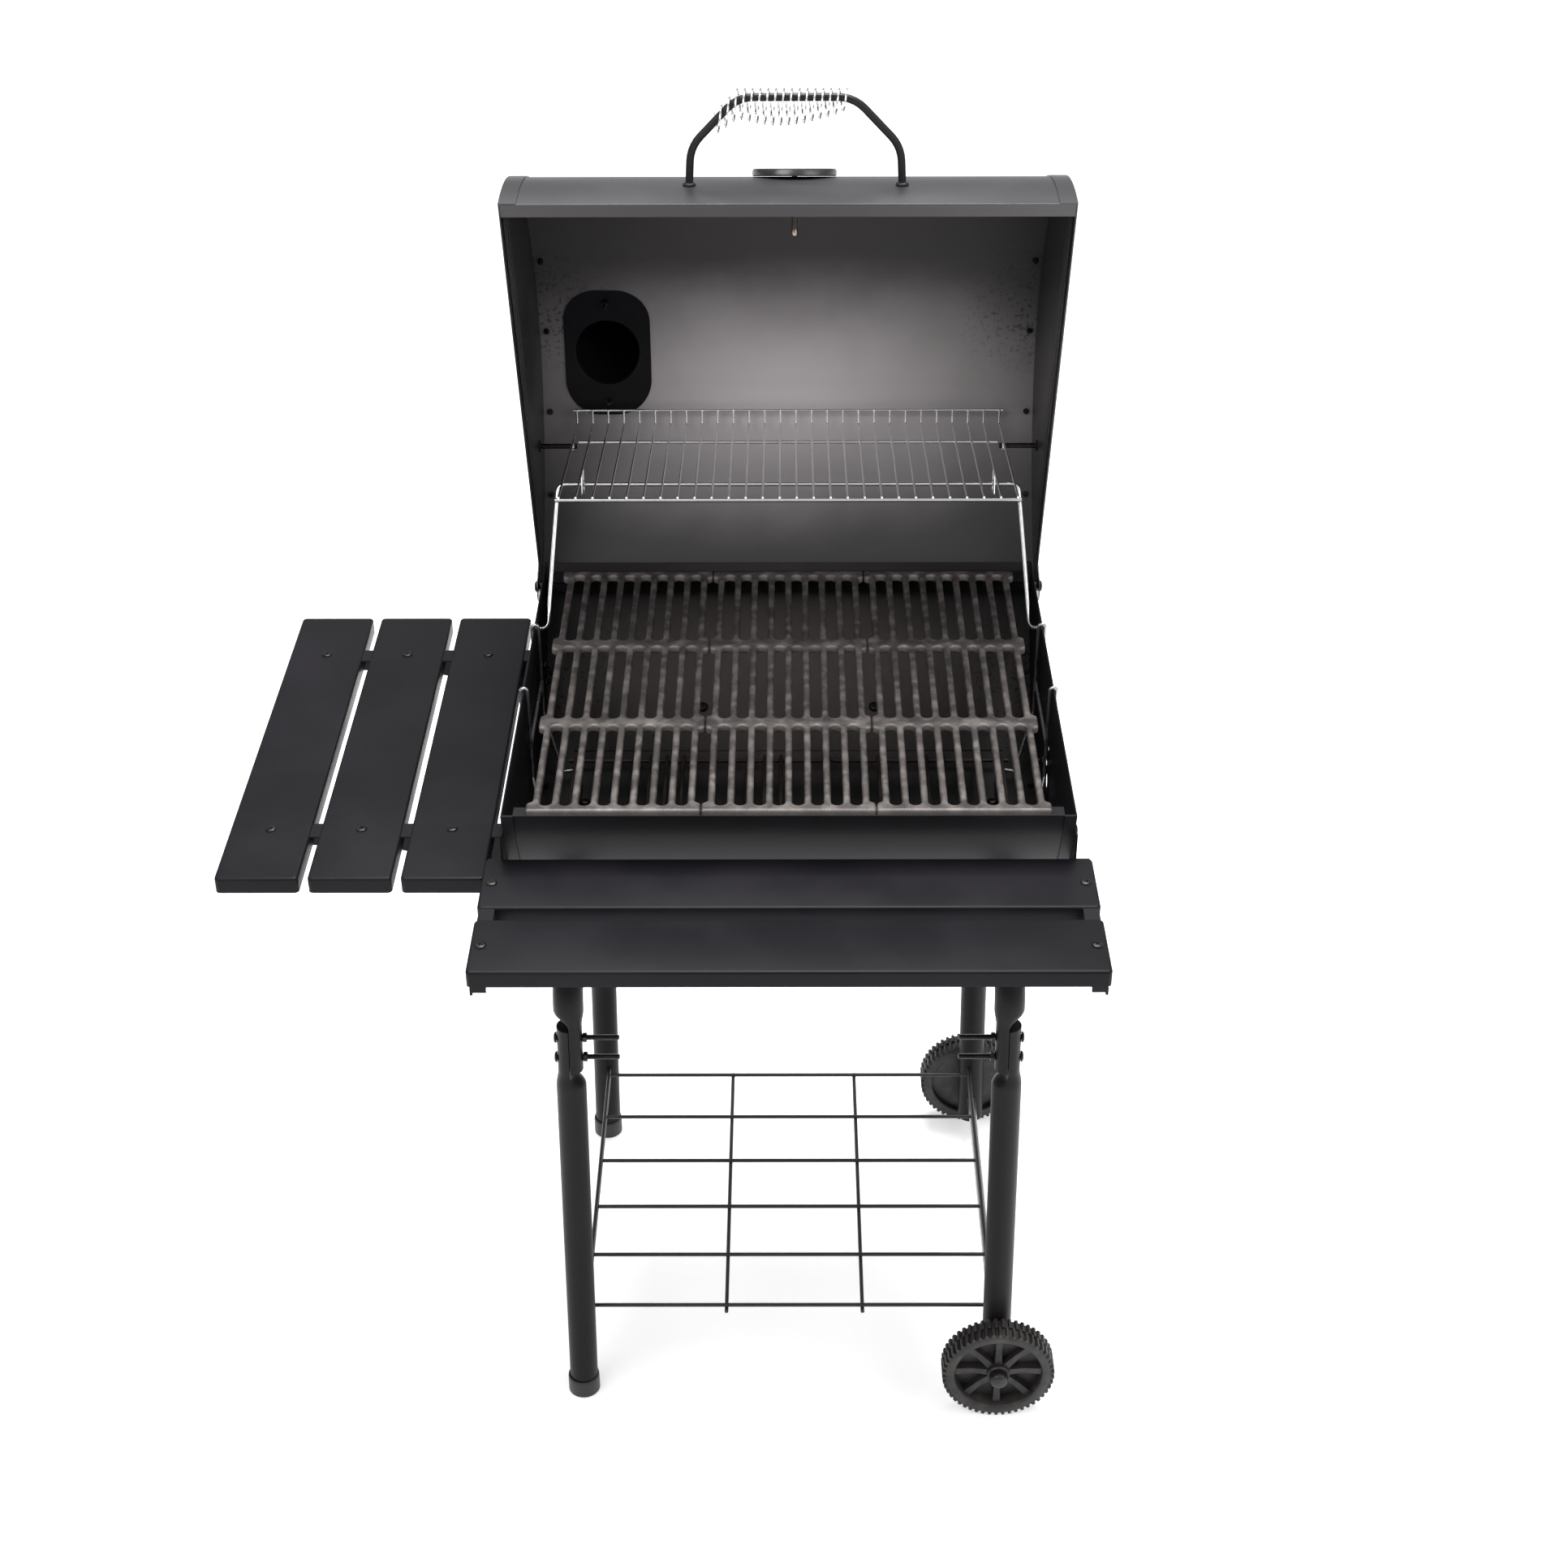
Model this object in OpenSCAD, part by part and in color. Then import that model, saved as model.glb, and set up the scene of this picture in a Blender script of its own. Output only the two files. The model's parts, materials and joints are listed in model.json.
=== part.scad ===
// Barrel charcoal grill on a wheeled cart, drawn with its lid thrown open.
// X runs along the barrel, Y from the front shelf to the back, Z up from the ground.

/* [Barrel] */
// Length of the barrel over its end panels
barrel_len = 562; // [558:1:564]
// Depth of the firebox below its rim
box_depth = 202; // [196:1:204]
// Height of the firebox rim above the ground
rim_z = 819; // [812:1:822]
// Width of the firebox at its rim, front to back
box_width = 533; // [528:1:534]
// Thickness of the barrel's sheet steel
sheet = 1.2; // [1:0.1:1.5]

/* [Lid] */
// Length of the lid over its end caps
lid_len = 578; // [577:1:580]
// Width of the lid at its rim, front to back
lid_width = 552; // [550:1:554]
// Height of the lid above its rim
lid_height = 226; // [222:1:228]
// How far the lid is thrown open, in degrees
lid_angle = 72; // [60:1:75]
// Length of the chimney above the lid
chimney_len = 200; // [150:5:220]

/* [Handle and gauge] */
// Distance between the handle's feet
handle_span = 216; // [200:2:230]
// Height of the handle above the lid
handle_rise = 88; // [80:1:95]
// Turns in the coil grip
coil_turns = 17; // [12:1:20]

/* [Cooking surface] */
// Width of one cast-iron grate
grate_w = 171.5; // [168:0.5:172]
// Length of one cast-iron grate, front to back
grate_l = 501.7; // [496:0.1:502]
// Number of slots across one grate
grate_slots = 8; // [6:1:9]

/* [Warming rack] */
// Width of the warming rack
rack_w = 503; // [490:1:504]
// Number of rack wires
rack_wires = 28; // [20:1:32]

/* [Cart] */
// Diameter of the leg tubes
leg_d = 32; // [30:0.5:33]
// Distance between the left and right legs at the ground
leg_span_x = 477; // [470:1:480]
// Distance between the front and rear legs
leg_span_y = 455.4; // [450:0.2:458]
// Diameter of the wheels over their lugs
wheel_d = 128; // [124:1:130]
// Number of lugs in each row of the tread
wheel_lugs = 50; // [40:1:54]

/* [Shelves] */
// Length of the front shelf's slats
front_slat_len = 597; // [590:1:604]
// Width of a front slat
front_slat_w = 84; // [80:1:86]
// Length of the side shelf's slats
side_slat_len = 532; // [520:1:540]
// Width of a side slat
side_slat_w = 82.5; // [80:0.5:84]

/* [Hidden] */
$fn = 48;

// Gap between sheets that lie on each other along a curve, and clearance round a bolt or pin
lap = 0.1;
fit = 0.08;

// Barrel: both halves are arcs on centres above and below the rim
barrel_y = 5;
half = barrel_len / 2;
box_r = (pow(box_width / 2, 2) + pow(box_depth, 2)) / (2 * box_depth);
box_zc = rim_z - box_depth + box_r;
end_flange = 12;
end_screw_x = half - 6;
end_screw_angles = [-48, -17, 17, 48];
seam_y = 134.5;
seam_w = 16.5;
seam_half = 245;
vent_y = 5;
vent_z = 715;
vent_r = 42;
vent_hole_r = 11;
vent_ring_r = 24;
rear_bolt_angle = 39;
rear_bolt_x = 99;

// Lid: drawn closed, then turned back about the hinge line
lid_half = lid_len / 2;
lid_rim = rim_z + 0.6;
lid_r = (pow(lid_width / 2, 2) + pow(lid_height, 2)) / (2 * lid_height);
lid_zc = lid_rim + lid_height - lid_r;
lid_in = lid_r - sheet;
lid_flange = 18;
lid_hem = 15;
field_in = 28;
field_step = 1.5;
lid_screw_x = lid_half - 9;
lid_screw_angles = [36 : 20 : 136];
hinge_y = 252;
hinge_z = rim_z - 21;
hinge_r = 3;
ear_r = 17;

// Handle: feet on the lid's front, rod bent in one plane
handle_x = 8;
handle_el = 22.6;
rod_d = 8;
shoulder = [handle_span / 2 - 2, handle_rise * 0.44];
bend = [handle_span / 2 - 50, handle_rise];
coil_start = -82;
coil_len = 133;
coil_wire = 2;
coil_sides = 5;
coil_steps = 10;

// Gauge: higher up the lid's front
gauge_x = 7;
gauge_el = 36.7;
gauge_r = 44;
gauge_h = 8;
stem_len = 60;
stud_gap = 25;
stud_r = 2;

// Chimney: upright when the lid is shut
chimney_x = -210;
chimney_el = 108.8;
tube_r = 38.5;
plate_w = 100;
plate_h = 152;
plate_corner = 40;
plate_turn = 12.7;
chimney_y = barrel_y - lid_r * cos(chimney_el);
chimney_base = lid_zc + lid_r * sin(chimney_el);
chimney_top = chimney_base + chimney_len;
cap_r = 46;
cap_t = 1.5;
cap_pin = tube_r + 8;

// Cooking surface and charcoal tray
grate_top = rim_z - 0.2;
grate_t = 9;
grate_gap = 0.75;
grate_bar = 7;
grate_inset = 6;
grate_end = 10;
grate_cross = 14;
ledge_t = 1.6;
tray_z = 650;
tray_wire = 4;
tray_front = -100;
tray_back = 109;
tray_half = 250;
hanger_front = -20;
hanger_back = 118;
hanger_in = half - 4.5;
hanger_out = half + 2.2;

// Warming rack: pivots on rods in the lid, rides on a frame that swings from the firebox
rack_pivot = [hinge_y + 78, hinge_z + 141];
frame_pivot = [hinge_y - 100, hinge_z];
frame_top = frame_pivot + rack_pivot - [hinge_y, hinge_z] - [0, 0.4];
rod_shut = [
    hinge_y + (rack_pivot[0] - hinge_y) * cos(lid_angle) - (rack_pivot[1] - hinge_z) * sin(lid_angle),
    hinge_z + (rack_pivot[0] - hinge_y) * sin(lid_angle) + (rack_pivot[1] - hinge_z) * cos(lid_angle)
];
rack_tilt = 7.2;
rack_back = 67;
rack_front = 197;
rack_wire = 2.6;
rack_edge = 4.6;
frame_wire = 4.6;
rod_r = 3;
rod_end = 242.5;
rack_lift = 5;

// Cart
foot_x = leg_span_x / 2;
leg_y = leg_span_y / 2;
leg_r = leg_d / 2;
leg_wall = 1.2;
leg_tilt = 0.86;
joint_z = 476;
joint_h = 60;
joint_r = 13.5;
joint_bolts = [492, 518];
bend_r = 40;
run_z = rim_z - box_depth - 1 - leg_r;
saddle_y = [-50, 60];
saddle_x = foot_x - run_z * tan(leg_tilt);
saddle_size = [18, 26, 30];
right_leg_end = 27;
rack_z = 110;
rack_side_x = 232;
rack_cross_x = [-72, 84];
rack_rows = 6;
rack_pitch = 82.6;
floor_wire = 4.5;
axle_z = wheel_d / 2;
axle_r = 5;
axle_x = foot_x - axle_z * tan(leg_tilt);
wheel_w = 28;
wheel_y = leg_y + leg_r + 1.3;
hub_r = 13;
spokes = 8;

// Shelves
front_z = 770;
front_y0 = -263;
front_gap = 18;
flange_h = 17;
slat_t = 1.2;
front_screw_x = 288.2;
front_end = 6;
bracket_bolts = [[-236, 785], [-218, 757]];
bracket_rear = -206;
bracket_lip = [15, 12];
bracket_hook = [2.5, 6, 8];
bracket_notch = 16;
side_z = 757;
side_y0 = -279;
side_x0 = -299.2;
side_gap = 9.2;
arm_y = [-191, 166];
arm_end = -556;
arm_foot = 700;
arm_bolt_z = [722, 742];
arm_t = 2;
screw_r = 2.5;

// The base's middle, which is the part's origin
top_edge = [chimney_y + cap_r - hinge_y, chimney_top + 1 + cap_t - hinge_z];
max_y = hinge_y + top_edge[0] * cos(lid_angle) + top_edge[1] * sin(lid_angle);
min_y = front_y0 - 2 * front_slat_w - front_gap;
min_x = side_x0 - 3 * side_slat_w - 2 * side_gap;
max_x = max(front_slat_len / 2, axle_x + wheel_d / 2);
mid_x = (min_x + max_x) / 2;
mid_y = (min_y + max_y) / 2;

// ---- Frames and shared shapes ----

// Height of the firebox's underside at a place from front to back
function box_floor(y) = box_zc - sqrt(pow(box_r, 2) - pow(y - barrel_y, 2));

module on_base() {
    translate([-mid_x, -mid_y, 0]) children();
}

// Turns what is drawn on the closed lid to the lid's open place
module on_lid() {
    on_base()
        translate([0, hinge_y, hinge_z])
            rotate([-lid_angle, 0, 0])
                translate([0, -hinge_y, -hinge_z]) children();
}

// On the closed lid at an elevation from its front: local Z leads out along the radius
module lid_radius(elevation) {
    translate([0, barrel_y, lid_zc]) rotate([90 - elevation, 0, 0]) children();
}

// On the firebox at an angle from straight down: local Z leads in along the radius
module box_radius(angle) {
    translate([0, barrel_y, box_zc]) rotate([angle, 0, 0]) children();
}

// A profile drawn in Y and Z, pulled along X
module along_x(x0, len) {
    translate([x0, 0, 0]) rotate([90, 0, 90]) linear_extrude(height = len) children();
}

module on_side(side) {
    translate([side * foot_x, 0, 0]) rotate([0, -side * leg_tilt, 0]) children();
}

module bar(a, b, d) {
    v = b - a;
    l = norm(v);
    translate(a) rotate([0, acos(v[2] / l), atan2(v[1], v[0])]) cylinder(h = l, d = d);
}

// A bent wire: straight bars with a ball at each bend
module wire(points, d) {
    for (i = [0 : len(points) - 2]) bar(points[i], points[i + 1], d);
    for (i = [1 : len(points) - 2]) translate(points[i]) sphere(d = d * 1.03);
}

module pipe(r, wall, h) {
    difference() {
        cylinder(r = r, h = h);
        translate([0, 0, -1]) cylinder(r = r - wall, h = h + 2);
    }
}

module elbow(r) {
    rotate_extrude(angle = 90)
        translate([bend_r, 0]) difference() {
            circle(r = r);
            circle(r = r - leg_wall);
        }
}

module rounded_plate(w, h, r) {
    square([w - 2 * r, h], center = true);
    square([w, h - 2 * r], center = true);
    for (x = [-1, 1], y = [-1, 1])
        translate([x * (w / 2 - r), y * (h / 2 - r)]) circle(r = r);
}

// A bolt along Z: the head's underside at z = 0, the shank below it, a nut at nut_z if it has one
module bolt(r, len, head_r, head_h, nut_z = 0) {
    cylinder(r = head_r, h = head_h);
    translate([0, 0, -len]) cylinder(r = r, h = len + 0.5);
    if (nut_z < 0)
        translate([0, 0, nut_z - r * 1.4]) cylinder(r = r * 1.75, h = r * 1.4, $fn = 6);
}

module below(z, r, zc) {
    intersection() {
        translate([barrel_y, zc]) circle(r = r, $fn = 120);
        translate([barrel_y - 400, z - 400]) square([800, 400]);
    }
}

module above(z, r, zc) {
    intersection() {
        translate([barrel_y, zc]) circle(r = r, $fn = 120);
        translate([barrel_y - 400, z]) square([800, 400]);
    }
}

// ---- Firebox ----

module box_drills(r) {
    for (x = [-end_screw_x, end_screw_x], a = end_screw_angles)
        box_radius(a) translate([x, 0, -box_r - 20]) cylinder(r = r, h = 40);
}

module saddle_drills(r) {
    for (side = [-1, 1], y = saddle_y)
        translate([side * saddle_x, y, run_z]) cylinder(r = r, h = 60);
}

module firebox_shell() {
    on_base() color("#34333a") difference() {
        union() {
            along_x(-half + sheet, barrel_len - 2 * sheet) difference() {
                below(rim_z, box_r, box_zc);
                below(rim_z + 1, box_r - sheet, box_zc);
            }
            for (s = [-1, 1])
                along_x(-seam_half, 2 * seam_half) intersection() {
                    difference() {
                        below(rim_z, box_r - 0.4, box_zc);
                        below(rim_z + 1, box_r - sheet - 1.5, box_zc);
                    }
                    translate([barrel_y + s * seam_y - seam_w / 2, 600]) square([seam_w, 100]);
                }
        }
        box_drills(2 + fit);
        saddle_drills(3 + fit);
        for (x = [-rear_bolt_x, rear_bolt_x])
            box_radius(rear_bolt_angle) translate([x, 0, -box_r - 20]) cylinder(r = 3 + fit, h = 40);
    }
}

module firebox_end() {
    difference() {
        union() {
            along_x(half - sheet, sheet) below(rim_z, box_r + lap + sheet, box_zc);
            along_x(half - end_flange, end_flange) difference() {
                below(rim_z, box_r + lap + sheet, box_zc);
                below(rim_z + 1, box_r + lap, box_zc);
            }
        }
        box_drills(2 + fit);
        translate([half - 20, hinge_y, hinge_z]) rotate([0, 90, 0]) cylinder(r = hinge_r + fit, h = 40);
        translate([half - 20, frame_pivot[0], frame_pivot[1]])
            rotate([0, 90, 0]) cylinder(r = frame_wire / 2 + fit, h = 40);
        shelf_bolt_places() translate([0, 0, -20]) cylinder(r = 3 + fit, h = 40);
    }
}

module vent_holes(turn) {
    for (a = [0 : 90 : 270])
        rotate([0, 0, a + turn]) translate([vent_ring_r, 0, -10]) cylinder(r = vent_hole_r, h = 20);
}

module at_vent() {
    translate([half, vent_y, vent_z]) rotate([0, 90, 0]) children();
}

module firebox_end_left() {
    on_base() color("#2d2c31") difference() {
        mirror([1, 0, 0]) firebox_end();
        arm_bolt_places() translate([0, 0, -20]) cylinder(r = 3 + fit, h = 40);
    }
}

module firebox_end_right() {
    on_base() color("#2d2c31") difference() {
        firebox_end();
        at_vent() vent_holes(45);
        at_vent() translate([0, 0, -10]) cylinder(r = 3 + fit, h = 20);
    }
}

module air_shutter() {
    on_base() color("#232327") at_vent() difference() {
        union() {
            translate([0, 0, 0.3]) cylinder(r = vent_r, h = 1.2);
            rotate([0, 0, 180]) translate([vent_r - 2, -7, 0.3]) cube([16, 14, 1.2]);
        }
        vent_holes(0);
        translate([0, 0, -10]) cylinder(r = 3 + fit, h = 20);
    }
}

module shutter_screw() {
    on_base() color("#1c1b1e") at_vent() {
        translate([0, 0, 1.8]) bolt(3, 12, 6, 1.6, -1.8 - sheet - 0.2);
    }
}

module firebox_end_screws() {
    on_base() color("#1c1b1e")
        for (x = [-end_screw_x, end_screw_x], a = end_screw_angles)
            box_radius(a) translate([x, 0, -box_r - lap - sheet - 0.2]) rotate([180, 0, 0])
                bolt(2, 8, 4, 2, -lap - 2 * sheet - 0.4);
}

module rear_wall_bolts() {
    on_base() color("#1c1b1e")
        for (x = [-rear_bolt_x, rear_bolt_x])
            box_radius(rear_bolt_angle) translate([x, 0, -box_r + sheet + 0.2]) bolt(3, 14, 6, 3.5, -sheet - 0.5);
}

module grate_ledges() {
    on_base() color("#2a292d")
        for (s = [-1, 1])
            along_x(-half + 10, barrel_len - 20) intersection() {
                below(rim_z, box_r - sheet - 0.15, box_zc);
                union() {
                    translate([barrel_y + s * 256 - 19, grate_top - grate_t - ledge_t]) square([38, ledge_t]);
                    translate([barrel_y + s * 240 - ledge_t / 2, grate_top - grate_t - 14]) square([ledge_t, 14]);
                }
            }
}

// ---- Charcoal tray ----

module charcoal_grate() {
    on_base() color("#3a2f2b") {
        for (y = [tray_front, tray_back])
            bar([-tray_half, y, tray_z], [tray_half, y, tray_z], tray_wire + 0.6);
        for (g = [0 : 3], k = [0 : 3]) {
            x = -175 + 110.6 * g + 18.6 * k;
            bar([x, tray_front - 3, tray_z + 4], [x, tray_back + 3, tray_z + 4], tray_wire);
        }
        for (x = [-tray_half + 8, tray_half - 8])
            bar([x, tray_front - 3, tray_z + 4], [x, tray_back + 3, tray_z + 4], tray_wire);
    }
}

// Hangs on the end panel's rim and carries the tray's end
module tray_hanger() {
    low = tray_z - 4.2;
    over = rim_z + tray_wire / 2 + 0.1;
    for (y = [hanger_front, hanger_back])
        wire([[tray_half - 12, y > 40 ? tray_back - 12 : tray_front + 12, low],
              [tray_half + 6, y > 40 ? tray_back - 16 : tray_front + 16, low],
              [hanger_in, y, tray_z + 60], [hanger_in, y, over],
              [hanger_out, y, over], [hanger_out, y, over - 42]], tray_wire);
    bar([hanger_out, hanger_front, over - 42], [hanger_out, hanger_back, over - 42], tray_wire * 1.02);
    bar([tray_half - 12, tray_front + 12, low], [tray_half - 12, tray_back - 12, low], tray_wire * 1.02);
    bar([hanger_in, hanger_front, tray_z + 100], [hanger_in, hanger_back, tray_z + 100], tray_wire * 0.9);
}

module tray_hanger_left() {
    on_base() color("#8d8f94") mirror([1, 0, 0]) tray_hanger();
}

module tray_hanger_right() {
    on_base() color("#8d8f94") tray_hanger();
}

// ---- Cooking grates ----

module cooking_grate(column) {
    pitch = (grate_w - 2 * grate_inset - grate_bar) / grate_slots;
    slot = pitch - grate_bar;
    row = (grate_l - 2 * grate_end - 2 * grate_cross) / 3;
    x0 = (column - 1.5) * grate_w + (column - 1) * grate_gap;
    on_base() color("#45393a") translate([x0, 0, grate_top - grate_t])
        linear_extrude(height = grate_t) difference() {
            translate([0, -grate_l / 2]) square([grate_w, grate_l]);
            for (r = [0 : 2])
                translate([0, -grate_l / 2 + grate_end + r * (row + grate_cross)]) {
                    for (i = [0 : grate_slots - 1])
                        translate([grate_inset + grate_bar + i * pitch, 0]) {
                            translate([0, slot / 2]) square([slot, row - slot]);
                            translate([slot / 2, slot / 2]) circle(d = slot);
                            translate([slot / 2, row - slot / 2]) circle(d = slot);
                        }
                    translate([-1, 4]) square([grate_inset + 1, row - 8]);
                    translate([grate_w - grate_inset, 4]) square([grate_inset + 1, row - 8]);
                }
        }
}

module cooking_grate_left() { cooking_grate(0); }
module cooking_grate_middle() { cooking_grate(1); }
module cooking_grate_right() { cooking_grate(2); }

// ---- Cart ----

module leg_bolt_holes(r) {
    for (z = joint_bolts) translate([-60, 0, z]) rotate([0, 90, 0]) cylinder(r = r, h = 120);
}

// The lower half of a leg joint faces out, the upper half faces in
module joint_half(side) {
    intersection() {
        translate([0, 0, joint_z]) cylinder(r = joint_r, h = joint_h);
        translate([side > 0 ? 0.1 : -30.1, -20, joint_z - 1]) cube([30, 40, joint_h + 2]);
    }
}

module leg(side, front, foot) {
    difference() {
        on_side(side) translate([0, front * leg_y, 0]) difference() {
            union() {
                translate([0, 0, foot]) pipe(leg_r, leg_wall, joint_z - foot);
                translate([0, 0, joint_z - 3]) cylinder(r = leg_r, h = 3);
                translate([0, 0, -1]) joint_half(side);
            }
            leg_bolt_holes(3 + fit);
        }
        for (z = [rack_z - 4.3, rack_z + 4.3])
            translate([side * rack_side_x, front * leg_y, z])
                rotate([front * 90, 0, 0]) cylinder(r = floor_wire / 2 + fit, h = leg_y);
    }
}

module leg_front_left() {
    on_base() color("#2b2b2f") difference() {
        leg(-1, -1, 3);
        translate([-foot_x + 1.8, -leg_y - 30, 119]) rotate([-90, 0, 0]) cylinder(r = 4.5, h = 30);
    }
}

module leg_rear_left() {
    on_base() color("#2b2b2f") leg(-1, 1, 3);
}

module axle_bore(r) {
    translate([axle_x, -leg_y - 60, axle_z]) rotate([-90, 0, 0]) cylinder(r = r, h = 2 * leg_y + 120);
}

module leg_front_right() {
    on_base() color("#2b2b2f") difference() {
        leg(1, -1, right_leg_end);
        axle_bore(axle_r + fit);
    }
}

module leg_rear_right() {
    on_base() color("#2b2b2f") difference() {
        leg(1, 1, right_leg_end);
        axle_bore(axle_r + fit);
    }
}

module leg_joint_bolts() {
    on_base() color("#1c1b1e")
        for (side = [-1, 1], front = [-1, 1], z = joint_bolts)
            on_side(side) translate([side * (joint_r + 0.2), front * leg_y, z]) rotate([0, side * 90, 0])
                bolt(3, 66, 6, 3, -2 * joint_r - 0.6);
}

module foot_caps() {
    on_base() color("#1d1d20")
        for (front = [-1, 1])
            translate([-foot_x, front * leg_y, 0]) difference() {
                cylinder(r = leg_r + 2, h = 24);
                translate([0, 0, 2.6]) cylinder(r = leg_r + 0.5, h = 24);
            }
}

module cradle(side) {
    difference() {
        on_side(side) {
            for (front = [-1, 1])
                translate([0, front * leg_y, 0]) {
                    difference() {
                        union() {
                            joint_half(-side);
                            translate([0, 0, joint_z + joint_h - 1]) cylinder(r = leg_r, h = 3);
                            translate([0, 0, joint_z + joint_h - 1])
                                pipe(leg_r, leg_wall, run_z - bend_r - joint_z - joint_h + 1);
                        }
                        leg_bolt_holes(3 + fit);
                    }
                    translate([0, -front * bend_r, run_z - bend_r])
                        rotate([0, 0, front * 90]) rotate([90, 0, 0]) elbow(leg_r);
                }
            translate([0, -leg_y + bend_r, run_z]) rotate([-90, 0, 0])
                pipe(leg_r, leg_wall, 2 * (leg_y - bend_r));
            for (y = saddle_y)
                translate([-saddle_size[0] / 2, y - saddle_size[1] / 2, run_z + leg_r - 2]) cube(saddle_size);
        }
        translate([0, barrel_y, box_zc]) rotate([0, 90, 0])
            cylinder(r = box_r + 0.15, h = 900, center = true, $fn = 120);
        saddle_drills(3 + fit);
    }
}

module cradle_left() { on_base() color("#2b2b2f") cradle(-1); }
module cradle_right() { on_base() color("#2b2b2f") cradle(1); }

module cradle_bolts() {
    on_base() color("#1c1b1e")
        for (side = [-1, 1], y = saddle_y)
            translate([side * saddle_x, y, box_floor(y) + sheet + 1.5]) bolt(3, 25, 6, 3.5);
}

module bottom_rack() {
    reach = leg_y - leg_r + 7;
    on_base() color("#2a292d") {
        for (i = [0 : rack_rows - 1]) {
            y = (i - (rack_rows - 1) / 2) * rack_pitch;
            half_w = (i == 0 || i == rack_rows - 1) ? rack_side_x - 2 : rack_side_x;
            bar([-half_w, y, rack_z], [half_w, y, rack_z], floor_wire);
        }
        for (x = rack_cross_x)
            bar([x, -2.58 * rack_pitch, rack_z - 4.2], [x, 2.58 * rack_pitch, rack_z - 4.2], floor_wire);
        for (x = [-rack_side_x, rack_side_x], z = [rack_z - 4.3, rack_z + 4.3])
            bar([x, -reach, z], [x, reach, z], floor_wire);
    }
}

module axle() {
    on_base() color("#6d6e72")
        translate([axle_x, -wheel_y - wheel_w - 8, axle_z]) rotate([-90, 0, 0])
            cylinder(r = axle_r, h = 2 * (wheel_y + wheel_w + 8));
}

// One row of tread lugs, as a toothed ring
module lug_ring(turn) {
    step = 360 / wheel_lugs;
    root = wheel_d / 2 - 3.6;
    rotate([0, 0, turn]) polygon([
        for (i = [0 : wheel_lugs - 1], c = [[root, -0.27], [wheel_d / 2, -0.2], [wheel_d / 2, 0.2], [root, 0.27]])
            [c[0] * cos((i + c[1]) * step), c[0] * sin((i + c[1]) * step)]
    ]);
}

// Wheel about Z, outer face up
module wheel() {
    difference() {
        union() {
            difference() {
                union() {
                    linear_extrude(height = wheel_w / 2) lug_ring(-90);
                    translate([0, 0, wheel_w / 2]) linear_extrude(height = wheel_w / 2)
                        lug_ring(-90 + 180 / wheel_lugs);
                }
                translate([0, 0, -1]) cylinder(r = 49, h = wheel_w + 2);
            }
            translate([0, 0, 8]) cylinder(r = 49.5, h = 3);
            cylinder(r = hub_r, h = wheel_w);
            for (i = [0 : spokes - 1])
                rotate([0, 0, i * 360 / spokes]) translate([hub_r - 1, -4, 9]) cube([50 - hub_r, 8, 13]);
        }
        translate([0, 0, -1]) cylinder(r = axle_r + fit, h = wheel_w + 2);
    }
}

module wheel_front() {
    on_base() color("#242326") translate([axle_x, -wheel_y, axle_z]) rotate([90, 0, 0]) wheel();
}

module wheel_rear() {
    on_base() color("#242326")
        translate([axle_x, wheel_y, axle_z]) rotate([0, 0, 180]) rotate([90, 0, 0]) wheel();
}

module hub_cap() {
    difference() {
        intersection() {
            cylinder(r = 10.5, h = 12);
            translate([0, 0, -3]) sphere(r = 15);
        }
        translate([0, 0, -1]) cylinder(r = axle_r + 0.05, h = 9);
    }
}

module hub_caps() {
    cap_y = wheel_y + wheel_w + 0.6;
    on_base() color("#1d1d20") {
        translate([axle_x, -cap_y, axle_z]) rotate([90, 0, 0]) hub_cap();
        translate([axle_x, cap_y, axle_z]) rotate([-90, 0, 0]) hub_cap();
    }
}

// ---- Front shelf ----

module shelf_bolt_places() {
    for (b = bracket_bolts) translate([half, b[0], b[1]]) rotate([0, 90, 0]) children();
}

// A flat plate up the firebox's end, with a flange under the slats and a hook at its front
module front_bracket() {
    under = front_z - slat_t;
    nose = min_y + front_end;
    difference() {
        union() {
            along_x(half + 0.1, arm_t) polygon([
                [bracket_rear, 742], [bracket_rear, 780], [-246, 796], [front_y0 + 1, 796],
                [front_y0 + 1, under], [nose, under], [nose, 745]
            ]);
            translate([half + 0.1, nose, under - arm_t]) cube([bracket_lip[0], front_y0 + 1 - nose, arm_t]);
            translate([half + 0.1, nose, 742]) cube([bracket_lip[0], arm_t, bracket_lip[1]]);
            translate([half + bracket_lip[0] - 2, nose, 739]) cube(bracket_hook);
        }
        shelf_bolt_places() translate([0, 0, -20]) cylinder(r = 3 + fit, h = 40);
        for (i = [0, 1])
            translate([front_screw_x, front_screw_y(i), under - 20]) cylinder(r = screw_r + fit, h = 40);
    }
}

function front_screw_y(i) = front_y0 - front_slat_w / 2 - i * (front_slat_w + front_gap);

module front_bracket_left() {
    on_base() color("#222226") mirror([1, 0, 0]) front_bracket();
}

module front_bracket_right() {
    on_base() color("#222226") front_bracket();
}

// A slat: a shallow upturned pan, length along X
module slat(len, w) {
    difference() {
        translate([-len / 2, -w / 2, -flange_h]) cube([len, w, flange_h]);
        translate([-len / 2 + slat_t, -w / 2 + slat_t, -flange_h - 1])
            cube([len - 2 * slat_t, w - 2 * slat_t, flange_h + 1 - slat_t]);
    }
}

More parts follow.
